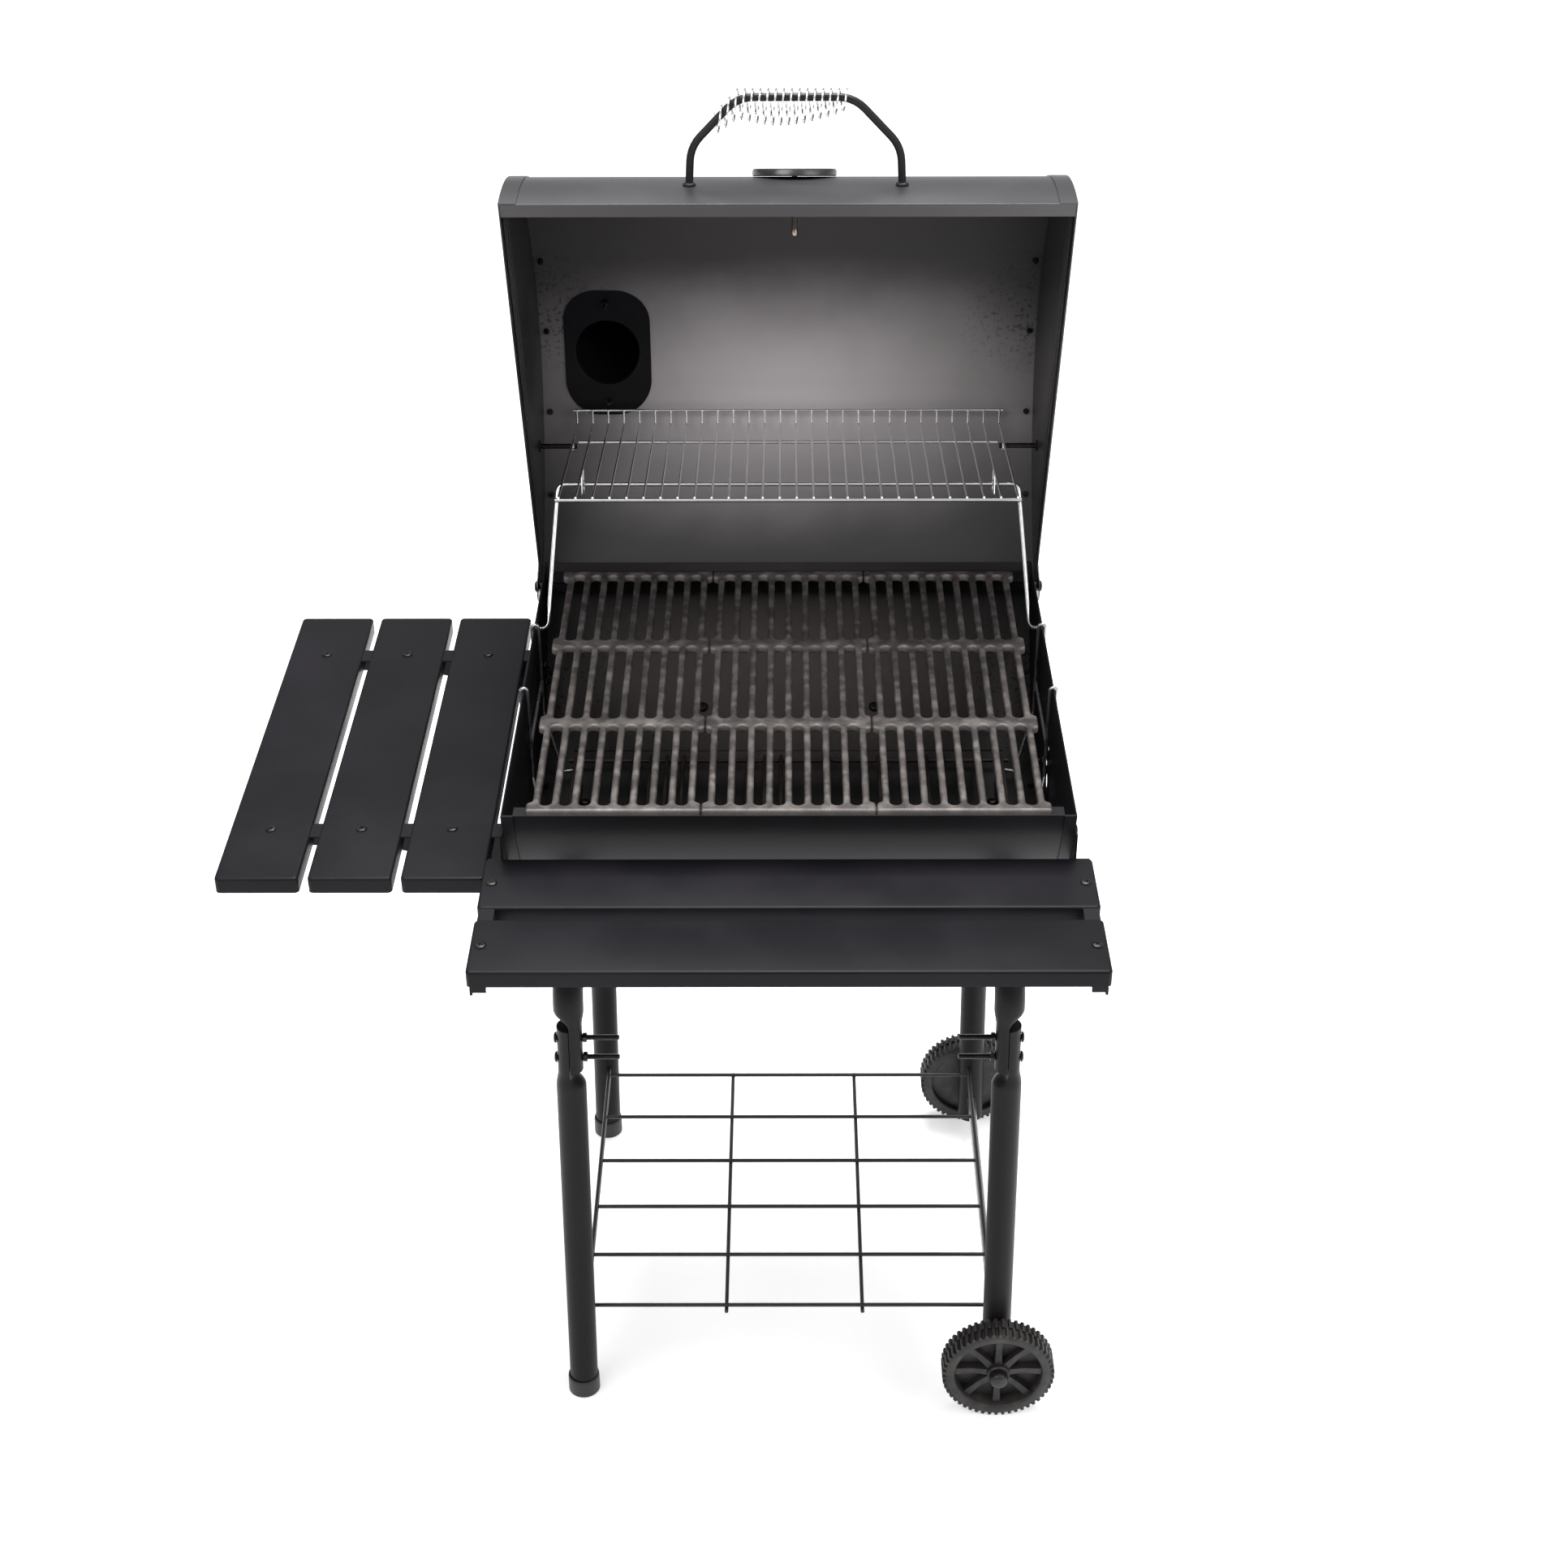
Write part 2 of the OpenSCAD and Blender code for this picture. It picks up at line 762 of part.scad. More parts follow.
module front_slat(i) {
    difference() {
        translate([0, front_screw_y(i), front_z]) slat(front_slat_len, front_slat_w);
        for (x = [-front_screw_x, front_screw_x])
            translate([x, front_screw_y(i), front_z - 10]) cylinder(r = screw_r + fit, h = 20);
        for (s = [-1, 1])
            translate([s > 0 ? half - 0.4 : 0.4 - half - bracket_notch, min_y - 1, front_z - flange_h - 1])
                cube([bracket_notch, 2 * front_slat_w + front_gap + 2, flange_h - slat_t + 1]);
    }
}

module front_slat_inner() { on_base() color("#35353a") front_slat(0); }
module front_slat_outer() { on_base() color("#35353a") front_slat(1); }

// ---- Side shelf ----

module arm_bolt_places() {
    for (y = arm_y, z = arm_bolt_z) translate([-half, y, z]) rotate([0, -90, 0]) children();
}

module side_arm(y) {
    top = side_z - slat_t;
    root = -half - 0.1;
    difference() {
        union() {
            translate([0, y + 12, 0]) rotate([90, 0, 0]) linear_extrude(height = arm_t) polygon([
                [root, arm_foot], [root, top], [arm_end, top], [arm_end, top - 24], [-420, top - 26]
            ]);
            translate([arm_end, y - 12, top - arm_t]) cube([root - arm_end, 24, arm_t]);
            translate([root - arm_t, y - 12, arm_foot]) cube([arm_t, 24, top - arm_foot]);
        }
        arm_bolt_places() translate([0, 0, -20]) cylinder(r = 3 + fit, h = 40);
        for (i = [0 : 2])
            translate([side_screw_x(i), y, top - 20]) cylinder(r = screw_r + fit, h = 40);
    }
}

function side_screw_x(i) = side_x0 - side_slat_w / 2 - i * (side_slat_w + side_gap);

module side_arm_front() { on_base() color("#222226") side_arm(arm_y[0]); }
module side_arm_rear() { on_base() color("#222226") side_arm(arm_y[1]); }

module side_slat(i) {
    difference() {
        translate([side_screw_x(i), side_y0 + side_slat_len / 2, side_z])
            rotate([0, 0, 90]) slat(side_slat_len, side_slat_w);
        for (y = arm_y) {
            translate([side_screw_x(i), y, side_z - 10]) cylinder(r = screw_r + fit, h = 20);
            translate([side_screw_x(i) - 60, y - 12.4, side_z - flange_h - 1])
                cube([120, 24.8, flange_h - slat_t + 1]);
        }
    }
}

module side_slat_inner() { on_base() color("#35353a") side_slat(0); }
module side_slat_middle() { on_base() color("#35353a") side_slat(1); }
module side_slat_outer() { on_base() color("#35353a") side_slat(2); }

module slat_screws() {
    on_base() color("#1c1b1e") {
        for (x = [-front_screw_x, front_screw_x], i = [0, 1])
            translate([x, front_screw_y(i), front_z + 0.1]) bolt(screw_r, 12, 5.5, 1.8, -slat_t - arm_t - 0.4);
        for (y = arm_y, i = [0 : 2])
            translate([side_screw_x(i), y, side_z + 0.1]) bolt(screw_r, 12, 5.5, 1.8, -slat_t - arm_t - 0.4);
    }
}

module shelf_bolts() {
    on_base() color("#1c1b1e") {
        for (s = [0, 1])
            mirror([s, 0, 0]) shelf_bolt_places() translate([0, 0, arm_t + 0.3])
                bolt(3, 12, 6, 2.6, -arm_t - sheet - 0.6);
        arm_bolt_places() translate([0, 0, arm_t + 0.3]) bolt(3, 12, 6, 2.6, -arm_t - sheet - 0.6);
    }
}

// ---- Lid ----

module lid_drills(r) {
    for (x = [-lid_screw_x, lid_screw_x], a = lid_screw_angles)
        lid_radius(180 - a) translate([x, 0, lid_r - 20]) cylinder(r = r, h = 40);
}

module chimney_bore(r) {
    translate([chimney_x, chimney_y, lid_zc + 200]) cylinder(r = r, h = chimney_len + 200);
}

module plate_drills(r) {
    for (s = [-1, 1])
        lid_radius(chimney_el + s * plate_turn) translate([chimney_x, 0, lid_r - 30]) cylinder(r = r, h = 60);
}

module handle_places() {
    lid_radius(handle_el)
        for (s = [-1, 1]) translate([handle_x + s * handle_span / 2, 0, lid_r]) children();
}

module gauge_drills(r, r_stud) {
    lid_radius(gauge_el) {
        translate([gauge_x, 0, lid_r - 20]) cylinder(r = r, h = 30);
        for (s = [-1, 1])
            translate([gauge_x + s * stud_gap / 2, 0, lid_r - 20]) cylinder(r = r_stud, h = 30);
    }
}

module lid_shell() {
    on_lid() color("#3c3a40") difference() {
        union() {
            along_x(-lid_half + sheet, lid_len - 2 * sheet) difference() {
                above(lid_rim, lid_r, lid_zc);
                above(lid_rim - 1, lid_in, lid_zc);
            }
            translate([-lid_half + sheet + 0.5, barrel_y - lid_width / 2 + 0.2, lid_rim])
                cube([lid_len - 2 * sheet - 1, lid_hem, sheet]);
        }
        lid_drills(2 + fit);
        chimney_bore(tube_r + 0.2);
        plate_drills(screw_r + fit);
        handle_places() translate([0, 0, -20]) cylinder(r = 2.5 + fit, h = 40);
        gauge_drills(3 + fit, stud_r + fit);
    }
}

module lid_field(inset) {
    above(lid_rim + field_in + inset, lid_r - field_in - inset, lid_zc);
}

module lid_end() {
    outer = lid_r + lap + sheet;
    difference() {
        union() {
            along_x(lid_half - sheet, sheet) difference() {
                union() {
                    above(lid_rim, outer, lid_zc);
                    translate([hinge_y, hinge_z]) circle(r = ear_r);
                    translate([hinge_y - ear_r, hinge_z]) square([2 * ear_r, lid_rim - hinge_z + 5]);
                }
                lid_field(0);
            }
            along_x(lid_half - sheet - field_step, sheet + field_step) difference() {
                lid_field(-0.3);
                lid_field(sheet);
            }
            along_x(lid_half - sheet - field_step, sheet) lid_field(0.3);
            along_x(lid_half - lid_flange, lid_flange) difference() {
                above(lid_rim, outer, lid_zc);
                above(lid_rim - 1, lid_r + lap, lid_zc);
            }
        }
        lid_drills(2 + fit);
        translate([lid_half - 20, hinge_y, hinge_z]) rotate([0, 90, 0]) cylinder(r = hinge_r + fit, h = 40);
        rack_rod_bores();
    }
}

module rack_rod_bores() {
    translate([lid_half - 20, rod_shut[0], rod_shut[1]]) rotate([0, 90, 0]) cylinder(r = rod_r + fit, h = 40);
}

module lid_end_left() { on_lid() color("#2f2e33") mirror([1, 0, 0]) lid_end(); }
module lid_end_right() { on_lid() color("#2f2e33") lid_end(); }

module lid_end_screws() {
    on_lid() color("#1c1b1e")
        for (x = [-lid_screw_x, lid_screw_x], a = lid_screw_angles)
            lid_radius(180 - a) translate([x, 0, lid_r + lap + sheet + 0.2])
                bolt(2, 9, 4, 2, -lap - 2 * sheet - 0.4);
}

module hinge_bolts() {
    on_base() color("#1c1b1e")
        for (s = [0, 1])
            mirror([s, 0, 0]) translate([lid_half + 0.5, hinge_y, hinge_z]) rotate([0, 90, 0]) {
                bolt(hinge_r, 25, 6.5, 3.5, -(lid_half + 0.5 - half) - sheet - 0.3);
                translate([0, 0, -(lid_half + 0.5 - half) + 0.2]) cylinder(r = 6, h = 5);
            }
}

// ---- Handle ----

function rod_height(x) = abs(x) > bend[0]
    ? bend[1] - (abs(x) - bend[0]) * (bend[1] - shoulder[1]) / (shoulder[0] - bend[0])
    : bend[1];

module handle_rod() {
    h = lid_r + 0.2;
    path = [
        [-handle_span / 2, 0, h], [-shoulder[0], 0, lid_r + shoulder[1]],
        [-bend[0], 0, lid_r + bend[1]], [bend[0], 0, lid_r + bend[1]],
        [shoulder[0], 0, lid_r + shoulder[1]], [handle_span / 2, 0, h]
    ];
    on_lid() color("#242428") lid_radius(handle_el) translate([handle_x, 0, 0]) difference() {
        union() {
            wire(path, rod_d);
            for (s = [-1, 1]) translate([s * handle_span / 2, 0, h]) cylinder(r = 7, h = 2);
        }
        for (s = [-1, 1]) translate([s * handle_span / 2, 0, lid_r - 5]) cylinder(r = 2.5 + fit, h = 16);
        for (s = [-1, 1]) translate([s * handle_span / 2, 0, lid_r - 10]) cylinder(r = 12, h = 10.2);
    }
}

// A barrel-shaped coil that hangs on the rod
function coil_radius(t) = 13 + 4 * sin(180 * t);
function coil_axis(t) = lid_r + rod_height(coil_start + coil_len * t) - coil_radius(t) + 7.6;
function coil_point(t, j) = let (
        turn = 360 * coil_turns * t,
        a = 360 * j / coil_sides,
        r = coil_radius(t) + coil_wire / 2 * cos(a)
    ) [coil_start + coil_len * t + coil_wire / 2 * sin(a), r * sin(turn), coil_axis(t) + r * cos(turn)];

module handle_spring() {
    n = coil_turns * coil_steps;
    s = coil_sides;
    points = [for (i = [0 : n], j = [0 : s - 1]) coil_point(i / n, j)];
    sides = [for (i = [0 : n - 1], j = [0 : s - 1])
        [i * s + j, i * s + (j + 1) % s, (i + 1) * s + (j + 1) % s, (i + 1) * s + j]];
    ends = [[for (j = [s - 1 : -1 : 0]) j], [for (j = [0 : s - 1]) n * s + j]];
    on_lid() color("#c9ccd1") lid_radius(handle_el) translate([handle_x, 0, 0])
        polyhedron(points = points, faces = concat(sides, ends));
}

module handle_screws() {
    on_lid() color("#1c1b1e")
        handle_places() translate([0, 0, -sheet - 0.3]) rotate([180, 0, 0]) bolt(2.5, 11, 5, 3);
}

// ---- Gauge ----

module on_gauge() {
    on_lid() lid_radius(gauge_el) translate([gauge_x, 0, 0]) children();
}

module gauge_bezel() {
    on_gauge() color("#3a3a3e") difference() {
        translate([0, 0, lid_r + 0.2]) cylinder(r = gauge_r, h = gauge_h);
        translate([0, 0, lid_r + 2.6]) cylinder(r = gauge_r - 4, h = 20);
        translate([0, 0, lid_r - 10]) cylinder(r = 3 + fit, h = 20);
        for (s = [-1, 1]) translate([s * stud_gap / 2, 0, lid_r - 10]) cylinder(r = stud_r + fit, h = 20);
    }
}

module gauge_dial() {
    on_gauge() color("#d8d5cb") difference() {
        translate([0, 0, lid_r + 2.7]) cylinder(r = gauge_r - 4.2, h = 0.8);
        translate([0, 0, lid_r]) cylinder(r = 3 + fit, h = 8);
    }
}

module gauge_needle() {
    on_gauge() color("#b3261e") difference() {
        union() {
            translate([0, 0, lid_r + 4.3]) cylinder(r = 4, h = 0.9);
            rotate([0, 0, -135]) translate([-9, -1, lid_r + 4.3]) cube([40, 2, 0.9]);
        }
        translate([0, 0, lid_r]) cylinder(r = 1.5 + fit, h = 8);
    }
}

module gauge_glass() {
    on_gauge() color("#cfdde2", 0.4) translate([0, 0, lid_r + 6.2]) cylinder(r = gauge_r - 4.1, h = 1.2);
}

module gauge_stem() {
    on_gauge() color("#b58a52") {
        translate([0, 0, lid_r - stem_len]) cylinder(r = 3, h = stem_len + 3.9);
        translate([0, 0, lid_r + 3.8]) cylinder(r = 1.5, h = 1.9);
        for (s = [-1, 1])
            translate([s * stud_gap / 2, 0, 0]) {
                translate([0, 0, lid_r - 30]) cylinder(r = stud_r, h = 32.4);
                translate([0, 0, lid_in - 3.4]) cylinder(r = 4, h = 3, $fn = 6);
            }
    }
}

// ---- Chimney ----

module plate_block() {
    lid_radius(chimney_el) translate([chimney_x, 0, lid_r - 40])
        linear_extrude(height = 80) rounded_plate(plate_w, plate_h, plate_corner);
}

module lid_tube(r) {
    translate([-lid_half, barrel_y, lid_zc]) rotate([0, 90, 0]) cylinder(r = r, h = lid_len, $fn = 120);
}

module chimney_flange() {
    on_lid() color("#1f1f24") difference() {
        intersection() {
            plate_block();
            difference() {
                lid_tube(lid_in - 0.1);
                lid_tube(lid_in - 1.7);
            }
        }
        chimney_bore(tube_r - 1.5);
        plate_drills(screw_r + fit);
    }
}

module chimney_tube() {
    pin = [chimney_x + cap_pin, chimney_y];
    on_lid() color("#2d2c31") difference() {
        union() {
            intersection() {
                plate_block();
                difference() {
                    lid_tube(lid_r + 1.7);
                    lid_tube(lid_r + 0.1);
                }
            }
            difference() {
                translate([chimney_x, chimney_y, chimney_base - 25]) cylinder(r = tube_r, h = chimney_len + 25);
                lid_tube(lid_r + 0.1);
            }
            translate([pin[0] - 14, pin[1] - 7, chimney_top - 12]) cube([14, 14, 12]);
            translate([pin[0], pin[1], chimney_top - 12]) cylinder(r = 7, h = 12);
        }
        chimney_bore(tube_r - sheet);
        plate_drills(screw_r + fit);
        translate([pin[0], pin[1], chimney_top - 20]) cylinder(r = 2 + fit, h = 40);
    }
}

module chimney_bolts() {
    on_lid() color("#1c1b1e")
        for (s = [-1, 1])
            lid_radius(chimney_el + s * plate_turn) translate([chimney_x, 0, lid_r + 2])
                bolt(screw_r, 20, 5, 3, -5.5);
}

module chimney_cap() {
    on_lid() color("#2d2c31") translate([chimney_x, chimney_y, chimney_top + 1]) difference() {
        union() {
            cylinder(r = cap_r, h = cap_t);
            translate([cap_pin, 0, 0]) cylinder(r = 8, h = cap_t);
            translate([-cap_r - 12, -8, 0]) cube([20, 16, cap_t]);
        }
        translate([cap_pin, 0, -1]) cylinder(r = 2 + fit, h = 5);
    }
}

module cap_screw() {
    on_lid() color("#1c1b1e")
        translate([chimney_x + cap_pin, chimney_y, chimney_top + 1 + cap_t + 0.3]) bolt(2, 18, 4.5, 2.4, -15.2);
}

// ---- Warming rack ----

module rack_pivot_rods() {
    on_lid() color("#1c1b1e")
        for (s = [0, 1])
            mirror([s, 0, 0]) translate([0, rod_shut[0], rod_shut[1]]) rotate([0, 90, 0]) {
                translate([0, 0, rod_end]) cylinder(r = rod_r, h = lid_half + 1 - rod_end);
                translate([0, 0, lid_half + 0.4]) cylinder(r = 5.5, h = 3);
                translate([0, 0, lid_half - sheet - field_step - 1.6]) cylinder(r = 6.5, h = 1.2);
            }
}

// Drawn level about its pivot, then tipped: the front is higher while the lid is open
module warming_rack() {
    low = rack_lift - rack_wire / 2 - rack_edge / 2 + 0.4;
    side = rack_w / 2;
    slide = frame_top - rack_pivot;
    step = (rack_w - 8) / (rack_wires - 1);
    loop_x = side - 4 - step;
    on_base() color("#c9ccd1") translate([0, rack_pivot[0], rack_pivot[1]]) rotate([-rack_tilt, 0, 0]) {
        for (y = [-rack_front, rack_back])
            bar([-side, y, low], [side, y, low], rack_edge);
        bar([-side + 10, 9, low], [side - 10, 9, low], rack_edge * 0.9);
        bar([-side, rack_back + 1, rack_lift + 17], [side, rack_back + 1, rack_lift + 17], rack_wire * 1.2);
        for (i = [0 : rack_wires - 1]) {
            x = -side + 4 + i * step;
            bar([x, -rack_front - 2, rack_lift], [x, rack_back, rack_lift], rack_wire);
            translate([x, rack_back, rack_lift]) sphere(d = rack_wire * 1.03);
            bar([x, rack_back, rack_lift], [x, rack_back, rack_lift + 18], rack_wire);
        }
        for (s = [-1, 1])
            translate([s * (side - 4), 0, 0]) rotate([0, 90, 0]) difference() {
                union() {
                    cylinder(r = 5.4, h = 3, center = true);
                    translate([-7, -2, -1.5]) cube([4, 12, 3]);
                }
                cylinder(r = rod_r + fit, h = 8, center = true);
            }
        for (s = [-1, 1])
            wire([[s * loop_x, slide[0] - 7, rack_lift], [s * loop_x, slide[0] - 7, -23],
                  [s * loop_x, slide[0] + 7, -23], [s * loop_x, slide[0] + 7, rack_lift]], rack_wire);
    }
}

module rack_frame() {
    low = [half - 11.5, frame_pivot[0], frame_pivot[1]];
    high = [half - 24, frame_top[0], frame_top[1]];
    toward = (low - high) / norm(low - high);
    on_base() color("#c9ccd1")
        wire([
            [-half - 3, low[1], low[2]], [-low[0], low[1], low[2]],
            [-high[0] - 12 * toward[0], high[1] + 12 * toward[1], high[2] + 12 * toward[2]],
            [-high[0] + 12, high[1], high[2]], [high[0] - 12, high[1], high[2]],
            [high[0] + 12 * toward[0], high[1] + 12 * toward[1], high[2] + 12 * toward[2]],
            low, [half + 3, low[1], low[2]]
        ], frame_wire);
}

// ---- The part ----

firebox_shell();
firebox_end_left();
firebox_end_right();
firebox_end_screws();
rear_wall_bolts();
grate_ledges();
air_shutter();
shutter_screw();
cradle_left();
cradle_right();
cradle_bolts();
leg_front_left();
leg_rear_left();
leg_front_right();
leg_rear_right();
leg_joint_bolts();
foot_caps();
bottom_rack();
axle();
wheel_front();
wheel_rear();
hub_caps();
front_bracket_left();
front_bracket_right();
front_slat_inner();
front_slat_outer();
side_arm_front();
side_arm_rear();
side_slat_inner();
side_slat_middle();
side_slat_outer();
slat_screws();
shelf_bolts();
cooking_grate_left();
cooking_grate_middle();
cooking_grate_right();
charcoal_grate();
tray_hanger_left();
tray_hanger_right();
lid_shell();
lid_end_left();
lid_end_right();
lid_end_screws();
hinge_bolts();
handle_rod();
handle_spring();
handle_screws();
gauge_bezel();
gauge_glass();
gauge_dial();
gauge_needle();
gauge_stem();
chimney_flange();
chimney_tube();
chimney_bolts();
chimney_cap();
cap_screw();
rack_pivot_rods();
warming_rack();
rack_frame();
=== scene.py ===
"""Looks for a barrel charcoal grill on a wheeled cart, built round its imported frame."""

import json
import logging
import math
from dataclasses import dataclass, field
from enum import Enum
from typing import Any, Iterable, Sequence

import bmesh
import bpy
import numpy as np
from mathutils import Matrix, Vector


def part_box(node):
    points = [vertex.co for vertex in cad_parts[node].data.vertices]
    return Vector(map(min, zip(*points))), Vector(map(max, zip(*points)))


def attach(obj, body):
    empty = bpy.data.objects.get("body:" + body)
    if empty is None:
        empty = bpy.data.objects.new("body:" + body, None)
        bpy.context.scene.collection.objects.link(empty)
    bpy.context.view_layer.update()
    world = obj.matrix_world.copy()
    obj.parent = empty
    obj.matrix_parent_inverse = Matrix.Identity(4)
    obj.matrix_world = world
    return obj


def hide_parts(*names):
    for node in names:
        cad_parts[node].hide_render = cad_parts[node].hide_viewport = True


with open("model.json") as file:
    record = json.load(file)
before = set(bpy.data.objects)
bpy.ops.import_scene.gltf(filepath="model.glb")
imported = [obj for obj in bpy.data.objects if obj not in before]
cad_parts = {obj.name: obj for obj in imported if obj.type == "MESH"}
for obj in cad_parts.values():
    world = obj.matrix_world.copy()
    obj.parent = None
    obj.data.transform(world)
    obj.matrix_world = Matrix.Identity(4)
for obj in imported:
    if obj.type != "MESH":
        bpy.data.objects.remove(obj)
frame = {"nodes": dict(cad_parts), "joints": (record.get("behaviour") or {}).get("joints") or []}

LOG = logging.getLogger("grill")
MM = 0.001

Point = Sequence[float]
Faces = list[list[int]]


def mm(*points: Point) -> list[tuple[float, ...]]:
    """Returns points given in millimetres, in metres."""
    return [tuple(c * MM for c in point) for point in points]


# ---- Places read from the frame ----


def box_middle(node: str) -> Vector:
    """Returns the middle of a CAD node's box at rest."""
    low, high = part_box(node)
    return (low + high) / 2


@dataclass(frozen=True)
class Datum:
    """Where the grill's main lines are, in the frame's metres."""

    origin: Vector
    rim: float
    hinge: Vector
    open_angle: float
    barrel_y: float = 5 * MM
    lid_width: float = 552 * MM
    lid_height: float = 226 * MM
    lid_gap: float = 0.6 * MM
    box_width: float = 533 * MM
    box_depth: float = 202 * MM

    @classmethod
    def read(cls) -> "Datum":
        """Returns the datum of the loaded frame: the origin is on the ground under the barrel."""
        hinge = next(j for j in frame["joints"] if j["name"] == "lid_hinge")
        middle = box_middle("firebox_shell")
        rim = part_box("firebox_shell")[1].z
        origin = Vector((middle.x, middle.y - cls.barrel_y, 0))
        place = Vector(hinge["pos_m"]) - origin
        return cls(origin, rim, place, math.radians(hinge["range_deg"][1]))

    @property
    def lid_rim(self) -> float:
        """Height of the closed lid's rim."""
        return self.rim + self.lid_gap

    @property
    def lid_radius(self) -> float:
        """Radius of the lid's outer skin."""
        return ((self.lid_width / 2) ** 2 + self.lid_height**2) / (2 * self.lid_height)

    @property
    def lid_centre(self) -> Vector:
        """Middle of the closed lid's arc."""
        return Vector((0, self.barrel_y, self.lid_rim + self.lid_height - self.lid_radius))

    @property
    def box_radius(self) -> float:
        """Radius of the firebox's outer skin."""
        return ((self.box_width / 2) ** 2 + self.box_depth**2) / (2 * self.box_depth)

    @property
    def box_centre(self) -> Vector:
        """Middle of the firebox's arc."""
        return Vector((0, self.barrel_y, self.rim - self.box_depth + self.box_radius))

    def base(self) -> Matrix:
        """Returns the place of what stands on the cart."""
        return Matrix.Translation(self.origin)

    def lid(self) -> Matrix:
        """Returns the open place of what is drawn on the closed lid."""
        hinge = Vector((0, self.hinge.y, self.hinge.z))
        turn = Matrix.Rotation(-self.open_angle, 4, "X")
        return self.base() @ Matrix.Translation(hinge) @ turn @ Matrix.Translation(-hinge)

    def on_lid(self, elevation: float) -> Matrix:
        """Returns the place on the open lid whose local Z leads out along the radius.

        Args:
            elevation: Degrees up the closed lid from its front.
        """
        turn = Matrix.Rotation(math.radians(90 - elevation), 4, "X")
        return self.lid() @ Matrix.Translation(self.lid_centre) @ turn


# ---- Meshes ----


@dataclass
class Shape:
    """A growing list of corners and faces."""

    corners: list[Vector] = field(default_factory=list)
    faces: Faces = field(default_factory=list)

    def add(self, corners: Iterable[Point], faces: Faces) -> None:
        """Adds corners, and faces that count from the first of them."""
        start = len(self.corners)
        self.corners.extend(Vector(c) for c in corners)
        self.faces.extend([start + i for i in face] for face in faces)

    def join(self, other: "Shape", place: Matrix | None = None) -> "Shape":
        """Adds another shape, turned to a place.

        Args:
            other: The shape to add.
            place: Where it goes, or None for where it is.

        Returns:
            This shape.
        """
        move = place or Matrix.Identity(4)
        self.add([move @ c for c in other.corners], other.faces)
        return self

    def loft(self, rings: Sequence[Sequence[Point]]) -> "Shape":
        """Skins rings that have the same number of corners, and fills both ends.

        Args:
            rings: The rings, each a loop.

        Returns:
            This shape.
        """
        n = len(rings[0])
        faces: Faces = []
        for k in range(len(rings) - 1):
            a, b = k * n, (k + 1) * n
            faces += [[a + i, a + (i + 1) % n, b + (i + 1) % n, b + i] for i in range(n)]
        faces.append(list(range(n))[::-1])
        faces.append([(len(rings) - 1) * n + i for i in range(n)])
        self.add([c for ring in rings for c in ring], faces)
        return self

    def object(self, name: str, place: Matrix | None = None, smooth: float = 35) -> bpy.types.Object:
        """Makes a mesh object with outward faces.

        Args:
            name: The object's name.
            place: Matrix applied to the corners.
            smooth: Edges sharper than this many degrees stay sharp.

        Returns:
            The new object, at the origin.
        """
        mesh = bpy.data.meshes.new(name)
        move = place or Matrix.Identity(4)
        mesh.from_pydata([move @ c for c in self.corners], [], self.faces)
        return settle(mesh, name, smooth)


def link(name: str, data: bpy.types.ID) -> bpy.types.Object:
    """Returns a new object with the data, in the scene and at the origin."""
    obj = bpy.data.objects.new(name, data)
    bpy.context.scene.collection.objects.link(obj)
    return obj


def harvest(carrier: bpy.types.Object) -> bpy.types.Mesh:
    """Returns the mesh that an object's modifiers or curve give, and removes the object."""
    bpy.context.view_layer.update()
    mesh = bpy.data.meshes.new_from_object(carrier.evaluated_get(bpy.context.evaluated_depsgraph_get()))
    bpy.data.objects.remove(carrier)
    return mesh


def settle(mesh: bpy.types.Mesh, name: str, smooth: float = 35) -> bpy.types.Object:
    """Closes seams, points faces outwards and shades a mesh.

    Args:
        mesh: The mesh.
        name: Name of the object.
        smooth: Edges sharper than this many degrees stay sharp.

    Returns:
        A new object with the mesh.
    """
    work = bmesh.new()
    work.from_mesh(mesh)
    bmesh.ops.remove_doubles(work, verts=work.verts, dist=1e-6)
    bmesh.ops.dissolve_degenerate(work, edges=work.edges, dist=1e-7)
    bmesh.ops.recalc_face_normals(work, faces=work.faces)
    work.to_mesh(mesh)
    work.free()
    mesh.shade_smooth()
    mesh.set_sharp_from_angle(angle=math.radians(smooth))
    return link(name, mesh)


def arc(centre: Point, radius: float, start: float, end: float, steps: int) -> list[tuple[float, float]]:
    """Returns points on an arc, in degrees, both ends included."""
    angles = np.radians(np.linspace(start, end, steps + 1))
    return [(centre[0] + radius * math.cos(a), centre[1] + radius * math.sin(a)) for a in angles]


def lathe(profile: Sequence[Point], steps: int = 48) -> Shape:
    """Turns a closed or axis-to-axis profile of (radius, height) about Z.

    Args:
        profile: Points from one end of the outline to the other.
        steps: Corners round the axis.

    Returns:
        The turned shape, closed.
    """
    rings = [
        [(max(r, 1e-7) * math.cos(a), max(r, 1e-7) * math.sin(a), z) for r, z in profile]
        for a in np.linspace(0, 2 * math.pi, steps, endpoint=False)
    ]
    shape = Shape()
    n = len(profile)
    faces = [
        [k * n + i, (k + 1) % steps * n + i, (k + 1) % steps * n + (i + 1) % n, k * n + (i + 1) % n]
        for k in range(steps)
        for i in range(n)
    ]
    shape.add([c for ring in rings for c in ring], faces)
    return shape


def extrude(outline: Sequence[Point], length: float) -> Shape:
    """Pulls a closed outline along Z, with both ends filled."""
    return Shape().loft([[(x, y, z) for x, y in outline] for z in (0, length)])


# ---- Node trees ----


